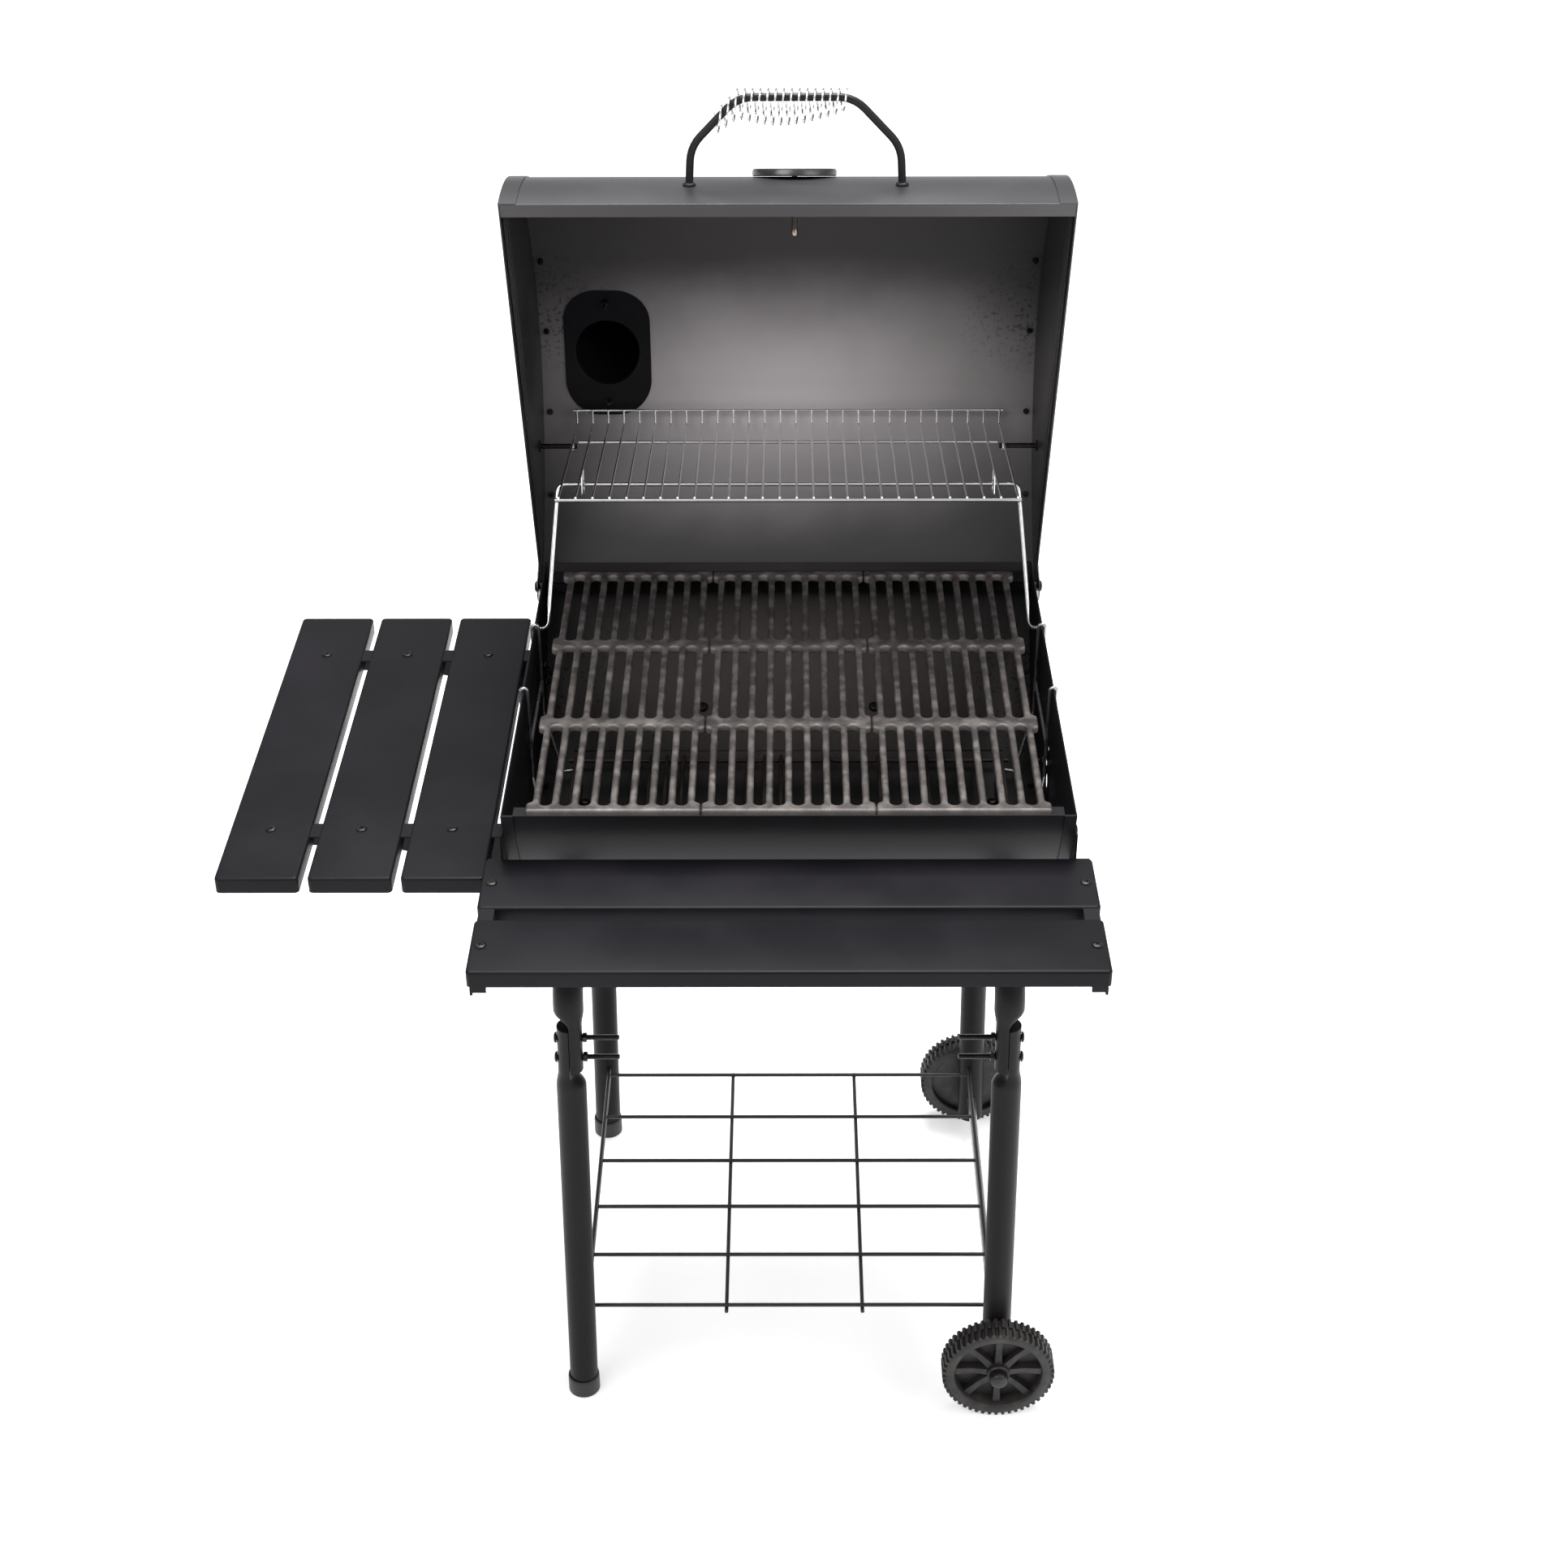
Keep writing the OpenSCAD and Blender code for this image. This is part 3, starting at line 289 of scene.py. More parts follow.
class Tree:
    """A node tree that is filled one node at a time."""

    def __init__(self, name: str, kind: str) -> None:
        """Starts an empty tree.

        Args:
            name: The tree's name.
            kind: GeometryNodeTree or ShaderNodeTree.
        """
        self.tree = bpy.data.node_groups.new(name, kind)
        self.start = self.tree.nodes.new("NodeGroupInput")
        self.end = self.tree.nodes.new("NodeGroupOutput")

    def socket(self, name: str, kind: str, value: Any = None, out: bool = False) -> None:
        """Adds a named input or output with its default."""
        side = "OUTPUT" if out else "INPUT"
        new = self.tree.interface.new_socket(name=name, in_out=side, socket_type="NodeSocket" + kind)
        if value is not None:
            new.default_value = value

    def node(self, kind: str, inputs: dict[str | int, Any] | None = None, **settings: Any) -> bpy.types.Node:
        """Adds a node.

        Args:
            kind: The node's type.
            inputs: Values or output sockets for its inputs, by name or number.
            settings: The node's own settings.

        Returns:
            The node.
        """
        return place_node(self.tree, kind, inputs, **settings)

    def math(self, operation: str, *values: Any) -> bpy.types.NodeSocket:
        """Adds a math node and returns its output."""
        return sum_up(self.tree, operation, *values)

    def take(self, name: str) -> bpy.types.NodeSocket:
        """Returns one of the tree's inputs."""
        return self.start.outputs[name]

    def give(self, name: str, value: bpy.types.NodeSocket) -> None:
        """Connects one of the tree's outputs."""
        self.tree.links.new(value, self.end.inputs[name])


def place_node(
    tree: bpy.types.NodeTree, kind: str, inputs: dict[str | int, Any] | None = None, **settings: Any
) -> bpy.types.Node:
    """Adds a node to a tree.

    Args:
        tree: The tree.
        kind: The node's type.
        inputs: Values or output sockets for its inputs, by name or number.
        settings: The node's own settings.

    Returns:
        The node.
    """
    new = tree.nodes.new(kind)
    for key, value in settings.items():
        setattr(new, key, value)
    fill(tree, new, inputs or {})
    return new


def fill(tree: bpy.types.NodeTree, node: bpy.types.Node, inputs: dict[str | int, Any]) -> None:
    """Links or sets a node's inputs, by name or number."""
    for key, value in inputs.items():
        if isinstance(value, bpy.types.NodeSocket):
            tree.links.new(value, node.inputs[key])
        else:
            node.inputs[key].default_value = value


def sum_up(tree: bpy.types.NodeTree, operation: str, *values: Any) -> bpy.types.NodeSocket:
    """Adds a math node and returns its output."""
    return place_node(tree, "ShaderNodeMath", dict(enumerate(values)), operation=operation).outputs[0]


def vector(tree: bpy.types.NodeTree, operation: str, *values: Any) -> bpy.types.NodeSocket:
    """Adds a vector math node and returns its vector, or its number for a length."""
    node = place_node(tree, "ShaderNodeVectorMath", dict(enumerate(values)), operation=operation)
    return node.outputs[1 if operation == "LENGTH" else 0]


def spread(tree: bpy.types.NodeTree, *values: Any, **settings: Any) -> bpy.types.NodeSocket:
    """Adds a map range node, from its value and its ends, and returns its output."""
    return place_node(tree, "ShaderNodeMapRange", dict(enumerate(values)), **settings).outputs[0]


def blend(tree: bpy.types.NodeTree, share: Any, first: Any, second: Any) -> bpy.types.NodeSocket:
    """Adds a colour mix and returns its colour."""
    return place_node(tree, "ShaderNodeMix", {0: share, 6: first, 7: second}, data_type="RGBA").outputs[2]


def close_tree(t: Tree, geometry: bpy.types.NodeSocket) -> bpy.types.NodeTree:
    """Ends a geometry tree in Realize Instances and Set Material, and returns it."""
    real = t.node("GeometryNodeRealizeInstances", {"Geometry": geometry})
    dressed = t.node("GeometryNodeSetMaterial", {"Geometry": real.outputs[0], "Material": t.take("Material")})
    t.give("Geometry", dressed.outputs[0])
    return t.tree


def geometry_tree(name: str, *sockets: tuple[str, str, Any]) -> Tree:
    """Starts a geometry tree that takes a geometry, a material and named sizes."""
    t = Tree(name, "GeometryNodeTree")
    t.socket("Geometry", "Geometry", out=True)
    t.socket("Geometry", "Geometry")
    t.socket("Material", "Material")
    for socket in sockets:
        t.socket(*socket)
    return t


def wire_tree() -> bpy.types.NodeTree:
    """Returns the tree that repeats bent wires in a row and gives them their thickness."""
    t = geometry_tree(
        "bent_wires",
        ("Count", "Int", 1),
        ("Pitch", "Vector", (0, 0, 0)),
        ("Bend Radius", "Float", 4 * MM),
        ("Sides", "Int", 12),
    )
    path = t.node("GeometryNodeMeshToCurve", {"Mesh": t.take("Geometry")})
    row = t.node("GeometryNodeMeshLine", {"Count": t.take("Count"), "Offset": t.take("Pitch")})
    copies = t.node("GeometryNodeInstanceOnPoints", {"Points": row.outputs[0], "Instance": path.outputs[0]})
    real = t.node("GeometryNodeRealizeInstances", {"Geometry": copies.outputs[0]})
    bent = t.node(
        "GeometryNodeFilletCurve",
        {"Curve": real.outputs[0], "Radius": t.take("Bend Radius"), "Count": 5, "Limit Radius": True},
        mode="POLY",
    )
    gauge = t.node("GeometryNodeInputNamedAttribute", {"Name": "gauge"}, data_type="FLOAT")
    ring = t.node("GeometryNodeCurvePrimitiveCircle", {"Resolution": t.take("Sides"), "Radius": 1.0})
    skin = t.node(
        "GeometryNodeCurveToMesh",
        {
            "Curve": bent.outputs[0], "Profile Curve": ring.outputs[0],
            "Scale": gauge.outputs[0], "Fill Caps": True,
        },
    )
    return close_tree(t, skin.outputs[0])


def spot_tree() -> bpy.types.NodeTree:
    """Returns the tree that sets a fastener on each point, along its axis and at a seeded turn."""
    t = geometry_tree("fasteners_on_points", ("Template", "Object", None), ("Seed", "Int", 1))
    template = t.node("GeometryNodeObjectInfo", {"Object": t.take("Template")})
    axis = t.node("GeometryNodeInputNamedAttribute", {"Name": "axis"}, data_type="FLOAT_VECTOR")
    aim = t.node("FunctionNodeAlignRotationToVector", {"Vector": axis.outputs[0]}, axis="Z")
    turn = t.node("FunctionNodeRandomValue", {"Seed": t.take("Seed")}, data_type="FLOAT_VECTOR")
    turn.inputs["Min"].default_value = (0, 0, 0)
    turn.inputs["Max"].default_value = (0, 0, 2 * math.pi)
    spin = t.node(
        "FunctionNodeRotateRotation",
        {"Rotation": aim.outputs[0], "Rotate By": turn.outputs[0]},
        rotation_space="LOCAL",
    )
    set_on = t.node(
        "GeometryNodeInstanceOnPoints",
        {"Points": t.take("Geometry"), "Instance": template.outputs["Geometry"], "Rotation": spin.outputs[0]},
    )
    return close_tree(t, set_on.outputs[0])


def ring_tree() -> bpy.types.NodeTree:
    """Returns the tree that repeats a template round Z over part of a turn."""
    t = geometry_tree(
        "repeat_round",
        ("Template", "Object", None),
        ("Count", "Int", 8),
        ("Step", "Float", 0.1),
        ("Start", "Float", 0.0),
    )
    template = t.node("GeometryNodeObjectInfo", {"Object": t.take("Template")})
    row = t.node("GeometryNodeMeshLine", {"Count": t.take("Count")})
    row.inputs["Offset"].default_value = (0, 0, 0)
    index = t.node("GeometryNodeInputIndex")
    swept = t.math("MULTIPLY", index.outputs[0], t.take("Step"))
    angle = t.math("ADD", swept, t.take("Start"))
    turn = t.node("ShaderNodeCombineXYZ", {"Z": angle})
    copies = t.node(
        "GeometryNodeInstanceOnPoints",
        {"Points": row.outputs[0], "Instance": template.outputs["Geometry"], "Rotation": turn.outputs[0]},
    )
    return close_tree(t, copies.outputs[0])


def coil_tree() -> bpy.types.NodeTree:
    """Returns the tree that winds a barrel-shaped coil hanging on a bent rod along X."""
    t = geometry_tree(
        "hanging_coil",
        ("Turns", "Float", 17.0),
        ("Steps Per Turn", "Int", 28),
        ("Length", "Float", 0.133),
        ("Start", "Float", -0.082),
        ("End Radius", "Float", 0.010),
        ("Bulge", "Float", 0.0075),
        ("Wire Radius", "Float", 0.0011),
        ("Rod Height", "Float", 0.1),
        ("Rod Bend", "Float", 0.058),
        ("Rod Slope", "Float", 1.0),
        ("Hang", "Float", 0.0076),
    )
    count = t.math("MULTIPLY", t.take("Turns"), t.take("Steps Per Turn"))
    line = t.node("GeometryNodeCurvePrimitiveLine", {"Start": (0, 0, 0), "End": (1, 0, 0)})
    fine = t.node("GeometryNodeResampleCurve", {"Curve": line.outputs[0], "Count": count})
    share = t.node("GeometryNodeSplineParameter").outputs["Factor"]
    bulge = t.math("MULTIPLY", t.math("SINE", t.math("MULTIPLY", share, math.pi)), t.take("Bulge"))
    radius = t.math("ADD", t.take("End Radius"), bulge)
    angle = t.math("MULTIPLY", t.math("MULTIPLY", share, 2 * math.pi), t.take("Turns"))
    x = t.math("ADD", t.take("Start"), t.math("MULTIPLY", share, t.take("Length")))
    past = t.math("MAXIMUM", t.math("SUBTRACT", t.math("ABSOLUTE", x), t.take("Rod Bend")), 0.0)
    rod = t.math("SUBTRACT", t.take("Rod Height"), t.math("MULTIPLY", past, t.take("Rod Slope")))
    axis = t.math("ADD", t.math("SUBTRACT", rod, radius), t.take("Hang"))
    y = t.math("MULTIPLY", radius, t.math("SINE", angle))
    z = t.math("ADD", axis, t.math("MULTIPLY", radius, t.math("COSINE", angle)))
    place = t.node("ShaderNodeCombineXYZ", {"X": x, "Y": y, "Z": z})
    wound = t.node("GeometryNodeSetPosition", {"Geometry": fine.outputs[0], "Position": place.outputs[0]})
    ring = t.node("GeometryNodeCurvePrimitiveCircle", {"Resolution": 8, "Radius": t.take("Wire Radius")})
    skin = t.node(
        "GeometryNodeCurveToMesh",
        {"Curve": wound.outputs[0], "Profile Curve": ring.outputs[0], "Fill Caps": True},
    )
    return close_tree(t, skin.outputs[0])


def grow(
    name: str,
    tree: bpy.types.NodeTree,
    seed_mesh: bpy.types.Mesh,
    place: Matrix,
    smooth: float = 40,
    **values: Any,
) -> bpy.types.Object:
    """Runs a geometry tree and keeps its result as a plain mesh.

    Args:
        name: Name of the new object.
        tree: The geometry tree.
        seed_mesh: What the tree starts from.
        place: Matrix applied to the result.
        smooth: Edges sharper than this many degrees stay sharp.
        values: The tree's inputs, by name with underscores for spaces.

    Returns:
        The new object, at the origin.
    """
    carrier = link(name + "_seed", seed_mesh)
    modifier = carrier.modifiers.new("grow", "NODES")
    modifier.node_group = tree
    sockets = {s.name: s.identifier for s in tree.interface.items_tree if s.in_out == "INPUT"}
    for key, value in values.items():
        modifier[sockets[key.replace("_", " ")]] = value
    mesh = harvest(carrier)
    mesh.transform(place)
    return settle(mesh, name, smooth)


def repeat_round(
    name: str,
    shop: "Shop",
    template: bpy.types.Object,
    place: Matrix,
    finish: str,
    count: int,
    step: float,
    start: float = 0.0,
) -> bpy.types.Object:
    """Repeats a template about its local Z.

    Args:
        name: Name of the new object.
        shop: The shop, for its tree and finishes.
        template: What repeats, which is used up.
        place: Matrix applied to the result.
        finish: The finish.
        count: How many copies.
        step: The turn from one copy to the next, in radians.
        start: The first copy's turn, in radians.

    Returns:
        The new object, at the origin.
    """
    made = grow(
        name, shop.ring, bpy.data.meshes.new(name + "_seed"), place,
        Template=template, Count=count, Step=step, Start=start, Material=shop.finish[finish],
    )
    bpy.data.objects.remove(template)
    return made


@dataclass
class Wire:
    """A run of wire through its corners."""

    points: list[Point]
    diameter: float


def wire_mesh(wires: Sequence[Wire]) -> bpy.types.Mesh:
    """Returns edges through the wires' corners, with half the diameter as the gauge attribute."""
    mesh = bpy.data.meshes.new("wires")
    corners: list[Point] = []
    edges: list[tuple[int, int]] = []
    gauges: list[float] = []
    for wire in wires:
        start = len(corners)
        corners += wire.points
        gauges += [wire.diameter / 2] * len(wire.points)
        edges += [(start + i, start + i + 1) for i in range(len(wire.points) - 1)]
    mesh.from_pydata(corners, edges, [])
    mesh.attributes.new("gauge", "FLOAT", "POINT").data.foreach_set("value", gauges)
    return mesh


# ---- Finishes ----


def grain_group() -> bpy.types.NodeTree:
    """Returns the group that varies a coat's colour, gloss and surface."""
    t = Tree("coat_grain", "ShaderNodeTree")
    t.socket("Colour", "Color", (0.1, 0.1, 0.1, 1))
    t.socket("Tint", "Color", (0.2, 0.2, 0.2, 1))
    t.socket("Cloud Size", "Float", 6.0)
    t.socket("Cloud Share", "Float", 0.4)
    t.socket("Grain Size", "Float", 900.0)
    t.socket("Grain Depth", "Float", 0.2)
    t.socket("Roughness", "Float", 0.4)
    t.socket("Roughness Spread", "Float", 0.1)
    t.socket("Colour", "Color", out=True)
    t.socket("Roughness", "Float", out=True)
    t.socket("Normal", "Vector", out=True)
    where = t.node("ShaderNodeTexCoord").outputs["Object"]
    cloud = t.node("ShaderNodeTexNoise", {"Vector": where, "Scale": t.take("Cloud Size"), "Detail": 5.0})
    speck = t.node("ShaderNodeTexNoise", {"Vector": where, "Scale": t.take("Grain Size"), "Detail": 2.0})
    patch = spread(t.tree, cloud.outputs[0], 0.35, 0.7, interpolation_type="SMOOTHSTEP")
    share = t.math("MULTIPLY", patch, t.take("Cloud Share"))
    t.give("Colour", blend(t.tree, share, t.take("Colour"), t.take("Tint")))
    swing = t.math("SUBTRACT", t.math("ADD", patch, speck.outputs[0]), 1.0)
    t.give("Roughness", t.math("MULTIPLY_ADD", swing, t.take("Roughness Spread"), t.take("Roughness")))
    bump = t.node(
        "ShaderNodeBump", {"Strength": t.take("Grain Depth"), "Distance": 0.0004, "Height": speck.outputs[0]}
    )
    t.give("Normal", bump.outputs[0])
    return t.tree


def dust_and_highlight_group() -> bpy.types.NodeTree:
    """Returns the group that lays dust or rust where a surface faces up or a cloud falls, and a painted
    highlight on faces turned to the front.
    """
    t = Tree("settled_dust", "ShaderNodeTree")
    t.socket("Colour", "Color", (0.1, 0.1, 0.1, 1))
    t.socket("Dust", "Color", (0.3, 0.28, 0.26, 1))
    t.socket("Amount", "Float", 0.3)
    t.socket("Size", "Float", 40.0)
    t.socket("Upward", "Float", 0.5)
    t.socket("Forward", "Float", 0.0)
    t.socket("Colour", "Color", out=True)
    space = t.node("ShaderNodeTexCoord")
    way = t.node("ShaderNodeSeparateXYZ", {0: space.outputs["Normal"]}).outputs
    rise = t.math("MULTIPLY", t.math("MAXIMUM", way["Z"], 0.0), t.take("Upward"))
    # Painted highlight: faces turned to the front, towards the key light, get the pale colour too.
    front = t.math("MAXIMUM", t.math("MULTIPLY", way["Y"], -1.0), 0.0)
    upward_dust_and_front_highlight = t.math("MULTIPLY_ADD", front, t.take("Forward"), rise)
    where = space.outputs["Object"]
    spots = t.node("ShaderNodeTexNoise", {"Vector": where, "Scale": t.take("Size"), "Detail": 6.0})
    level = spread(t.tree, spots.outputs[0], 0.45, 0.7)
    mask = t.math("MULTIPLY", t.math("ADD", level, upward_dust_and_front_highlight), t.take("Amount"))
    safe = t.node("ShaderNodeClamp", {0: mask}).outputs[0]
    t.give("Colour", blend(t.tree, safe, t.take("Colour"), t.take("Dust")))
    return t.tree


Colour = tuple[float, float, float]


@dataclass(frozen=True)
class Finish:
    """A finish: its colours, its grain and its gloss."""

    name: str
    colour: Colour
    tint: Colour
    roughness: float = 0.4
    spread: float = 0.1
    cloud_size: float = 6.0
    cloud_share: float = 0.4
    grain_size: float = 900.0
    grain_depth: float = 0.2
    metal: float = 0.0
    dust_and_highlight: Colour = (0.2, 0.19, 0.18)
    dust_and_highlight_amount: float = 0.0
    dust_size: float = 40.0
    dust_upward: float = 0.5
    # Share of the pale colour painted on faces turned to the front, as a painted highlight.
    front_highlight: float = 0.0
    specular: float = 0.5

    def make(self, groups: dict[str, bpy.types.NodeTree]) -> bpy.types.Material:
        """Builds the material.

        Args:
            groups: The shared node groups, by name.

        Returns:
            The material.
        """
        material = bpy.data.materials.new(self.name)
        material.use_nodes = True
        tree = material.node_tree
        shader = tree.nodes["Principled BSDF"]
        grain = tree.nodes.new("ShaderNodeGroup")
        grain.node_tree = groups["grain"]
        coat = {
            "Colour": (*self.colour, 1),
            "Tint": (*self.tint, 1),
            "Cloud Size": self.cloud_size,
            "Cloud Share": self.cloud_share,
            "Grain Size": self.grain_size,
            "Grain Depth": self.grain_depth,
            "Roughness": self.roughness,
            "Roughness Spread": self.spread,
        }
        fill(tree, grain, coat)
        colour = grain.outputs["Colour"]
        # Pale dust and rust spots, dust on up faces, and a painted highlight on front faces.
        if self.dust_and_highlight_amount:
            dust_and_highlight = tree.nodes.new("ShaderNodeGroup")
            dust_and_highlight.node_tree = groups["dust_and_highlight"]
            settled = {
                "Colour": colour,
                "Dust": (*self.dust_and_highlight, 1),
                "Amount": self.dust_and_highlight_amount,
                "Size": self.dust_size,
                "Upward": self.dust_upward,
                "Forward": self.front_highlight,
            }
            fill(tree, dust_and_highlight, settled)
            colour = dust_and_highlight.outputs["Colour"]
        tree.links.new(colour, shader.inputs["Base Color"])
        tree.links.new(grain.outputs["Roughness"], shader.inputs["Roughness"])
        tree.links.new(grain.outputs["Normal"], shader.inputs["Normal"])
        shader.inputs["Metallic"].default_value = self.metal
        shader.inputs["Specular IOR Level"].default_value = self.specular
        return material


PAINT: Colour = (0.0105, 0.0100, 0.0120)
PAINT_TINT: Colour = (0.018, 0.016, 0.0205)
SATIN = 0.12
LID_SHEEN = 0.9
BARE_ROUGHNESS = 0.55
SOOT = (0.012, 0.010, 0.009, 1)

FINISHES: tuple[Finish, ...] = (
    Finish("lid_paint", PAINT, PAINT_TINT, 0.36, 0.07, grain_size=1400, grain_depth=0.10, specular=LID_SHEEN),
    Finish("firebox_paint", PAINT, PAINT_TINT, 0.44, 0.08, grain_size=1400, grain_depth=0.12, specular=SATIN),
    Finish(
        "chimney_paint", (0.007, 0.007, 0.009), (0.013, 0.012, 0.017), 0.40, 0.08,
        grain_depth=0.12, specular=SATIN,
    ),
    Finish(
        "shelf_paint", (0.0062, 0.0056, 0.0074), (0.0115, 0.0102, 0.0130), 0.40, 0.07, 9, 0.5, 1600, 0.10,
        specular=SATIN,
    ),
    Finish(
        "bracket_paint", (0.008, 0.008, 0.009), (0.014, 0.013, 0.015), 0.42, 0.08,
        grain_depth=0.12, specular=SATIN,
    ),
    Finish(
        "tube_paint", (0.009, 0.0083, 0.0088), (0.016, 0.0145, 0.015), 0.40, 0.07,
        grain_depth=0.12, specular=SATIN,
    ),
    Finish(
        "handle_paint", (0.010, 0.010, 0.011), (0.018, 0.017, 0.019), 0.38, 0.08,
        grain_depth=0.12, specular=0.25,
    ),
    Finish(
        "cast_iron", (0.023, 0.0195, 0.0185), (0.056, 0.047, 0.043), 0.56, 0.16, 26, 0.7, 420, 0.9, 0.2,
        # Pale colour and its amount, spot size, dust on up faces, then the painted highlight on front faces.
        (0.25, 0.225, 0.215), 0.40, 60, 0.04, 1.9,
    ),
    Finish("chrome_wire", (0.88, 0.88, 0.89), (0.72, 0.72, 0.73), 0.18, 0.06, 30, 0.4, 1200, 0.06, 1.0),
    Finish("spring_chrome", (0.90, 0.90, 0.91), (0.74, 0.74, 0.75), 0.14, 0.05, 30, 0.3, 1200, 0.04, 1.0),
    Finish("plated_wire", (0.52, 0.52, 0.53), (0.30, 0.29, 0.29), 0.30, 0.10, 30, 0.7, 900, 0.15, 0.9),
    Finish("scorched_wire", (0.030, 0.024, 0.022), (0.08, 0.055, 0.045), 0.55, 0.12, 30, 0.6, 700, 0.4, 0.5),
    Finish("black_wire", (0.010, 0.010, 0.010), (0.018, 0.017, 0.018), 0.38, 0.08, 30, 0.4, 1200, 0.1),
    Finish(
        "wheel_plastic", (0.009, 0.0085, 0.009), (0.016, 0.014, 0.014), 0.52, 0.10, 25, 0.5, 900, 0.25,
        0.0, (0.085, 0.066, 0.060), 0.30, 70, 0.3,
    ),
    Finish("cap_plastic", (0.008, 0.008, 0.009), (0.014, 0.013, 0.014), 0.44, 0.08, 30, 0.4, 900, 0.15),
    Finish("axle_steel", (0.42, 0.42, 0.43), (0.30, 0.29, 0.28), 0.30, 0.10, 40, 0.6, 900, 0.2, 1.0),
    Finish("gauge_bezel", (0.10, 0.10, 0.105), (0.15, 0.15, 0.16), 0.28, 0.08, 30, 0.4, 900, 0.1, 0.9),
    Finish("gauge_dial", (0.78, 0.77, 0.72), (0.70, 0.68, 0.62), 0.45, 0.06, 40, 0.5, 900, 0.05),
    Finish("gauge_needle", (0.45, 0.03, 0.02), (0.52, 0.05, 0.03), 0.35, 0.05, 60, 0.4, 900, 0.05),
    Finish("gauge_ink", (0.02, 0.02, 0.02), (0.03, 0.03, 0.03), 0.5, 0.05, 60, 0.3, 900, 0.03),
    Finish("gauge_brass", (0.46, 0.36, 0.30), (0.34, 0.26, 0.21), 0.30, 0.10, 120, 0.6, 900, 0.1, 1.0),
    Finish("black_screws", (0.016, 0.015, 0.015), (0.038, 0.03, 0.026), 0.34, 0.12, 120, 0.6, 1500, 0.2, 0.7),
)


def glass_material() -> bpy.types.Material:
    """Returns the gauge's clear glass, with a faint film that breaks its gloss."""
    material = bpy.data.materials.new("gauge_glass")
    material.use_nodes = True
    tree = material.node_tree
    shader = tree.nodes["Principled BSDF"]
    shader.inputs["Transmission Weight"].default_value = 1.0
    shader.inputs["Metallic"].default_value = 0.0
    shader.inputs["IOR"].default_value = 1.45
    where = place_node(tree, "ShaderNodeTexCoord")
    film = place_node(tree, "ShaderNodeTexNoise", {"Vector": where.outputs["Object"], "Scale": 90.0})
    rough = spread(tree, film.outputs[0], 0.0, 1.0, 0.02, 0.09)
    tint = blend(tree, film.outputs[0], (0.95, 0.98, 0.98, 1), (0.90, 0.95, 0.96, 1))
    tree.links.new(rough, shader.inputs["Roughness"])
    tree.links.new(tint, shader.inputs["Base Color"])
    return material


@dataclass(frozen=True)
class SkinTone:
    """How one side of the lid or firebox wall differs from its painted outside."""

    name: str
    axis_y: float
    axis_z: float
    change_radius: float
    dark: Colour
    light: Colour
    # Middle and reach of the painted pool of light on the bare inner face.
    light_pool_middle: Vector
    light_pool_reach: Vector
    soot_middle: Vector
    soot_x: float
    sheen: float

    def make(self, groups: dict[str, bpy.types.NodeTree]) -> bpy.types.Material:
        """Builds a paint whose inner face is bare, paler in the middle of a painted pool of light and sooty
        at the sides.

        Args:
            groups: The shared node groups, by name.

        Returns:
            The material.
        """
        outside = Finish(
            self.name, PAINT, PAINT_TINT, 0.38, 0.07, grain_size=1400, grain_depth=0.10, specular=self.sheen
        )
        material = outside.make(groups)
        tree = material.node_tree
        shader = tree.nodes["Principled BSDF"]
        coat = shader.inputs["Base Color"].links[0].from_socket
        gloss = shader.inputs["Roughness"].links[0].from_socket
        where = place_node(tree, "ShaderNodeTexCoord").outputs["Object"]
        flat = vector(tree, "SUBTRACT", where, (0, self.axis_y, self.axis_z))
        radius = vector(tree, "LENGTH", vector(tree, "MULTIPLY", flat, (0, 1, 1)))
        inner = sum_up(tree, "LESS_THAN", radius, self.change_radius)
        # Painted pool of light: the inner face goes from the dark colour to the light one towards the pool's
        # middle.
        near = vector(tree, "SUBTRACT", where, self.light_pool_middle)
        far = vector(tree, "LENGTH", vector(tree, "DIVIDE", near, self.light_pool_reach))
        cloud = place_node(tree, "ShaderNodeTexNoise", {"Vector": where, "Scale": 7.0, "Detail": 5.0})
        drift = sum_up(tree, "MULTIPLY_ADD", cloud.outputs[0], 0.35, far)
        painted_light_pool = spread(tree, drift, 1.15, 0.15, 0.0, 1.0, interpolation_type="SMOOTHSTEP")
        wall = blend(tree, painted_light_pool, (*self.dark, 1), (*self.light, 1))
        wall = blend(tree, self.soot(tree, where), wall, SOOT)
        colour = blend(tree, inner, coat, wall)
        dull = place_node(tree, "ShaderNodeMix", {0: inner, 2: gloss, 3: BARE_ROUGHNESS}).outputs[0]
        tree.links.new(colour, shader.inputs["Base Color"])
        tree.links.new(dull, shader.inputs["Roughness"])
        return material

    def soot(self, tree: bpy.types.NodeTree, where: bpy.types.NodeSocket) -> bpy.types.NodeSocket:
        """Adds the soot specks' mask.

        Args:
            tree: The material's tree.
            where: The Object coordinates.

        Returns:
            The mask's socket.
        """
        around = vector(tree, "SUBTRACT", where, self.soot_middle)
        apart = place_node(tree, "ShaderNodeSeparateXYZ", {0: around}).outputs
        side = sum_up(tree, "ABSOLUTE", apart["X"])
        gap = sum_up(tree, "ABSOLUTE", apart["Z"])
        edge = spread(tree, side, self.soot_x - 0.05, self.soot_x + 0.04)
        band = spread(tree, gap, 0.10, 0.02)
        specks = place_node(tree, "ShaderNodeTexNoise", {"Vector": where, "Scale": 210.0, "Detail": 4.0})
        hits = spread(tree, specks.outputs[0], 0.57, 0.60)
        return sum_up(tree, "MULTIPLY", sum_up(tree, "MULTIPLY", edge, band), hits)


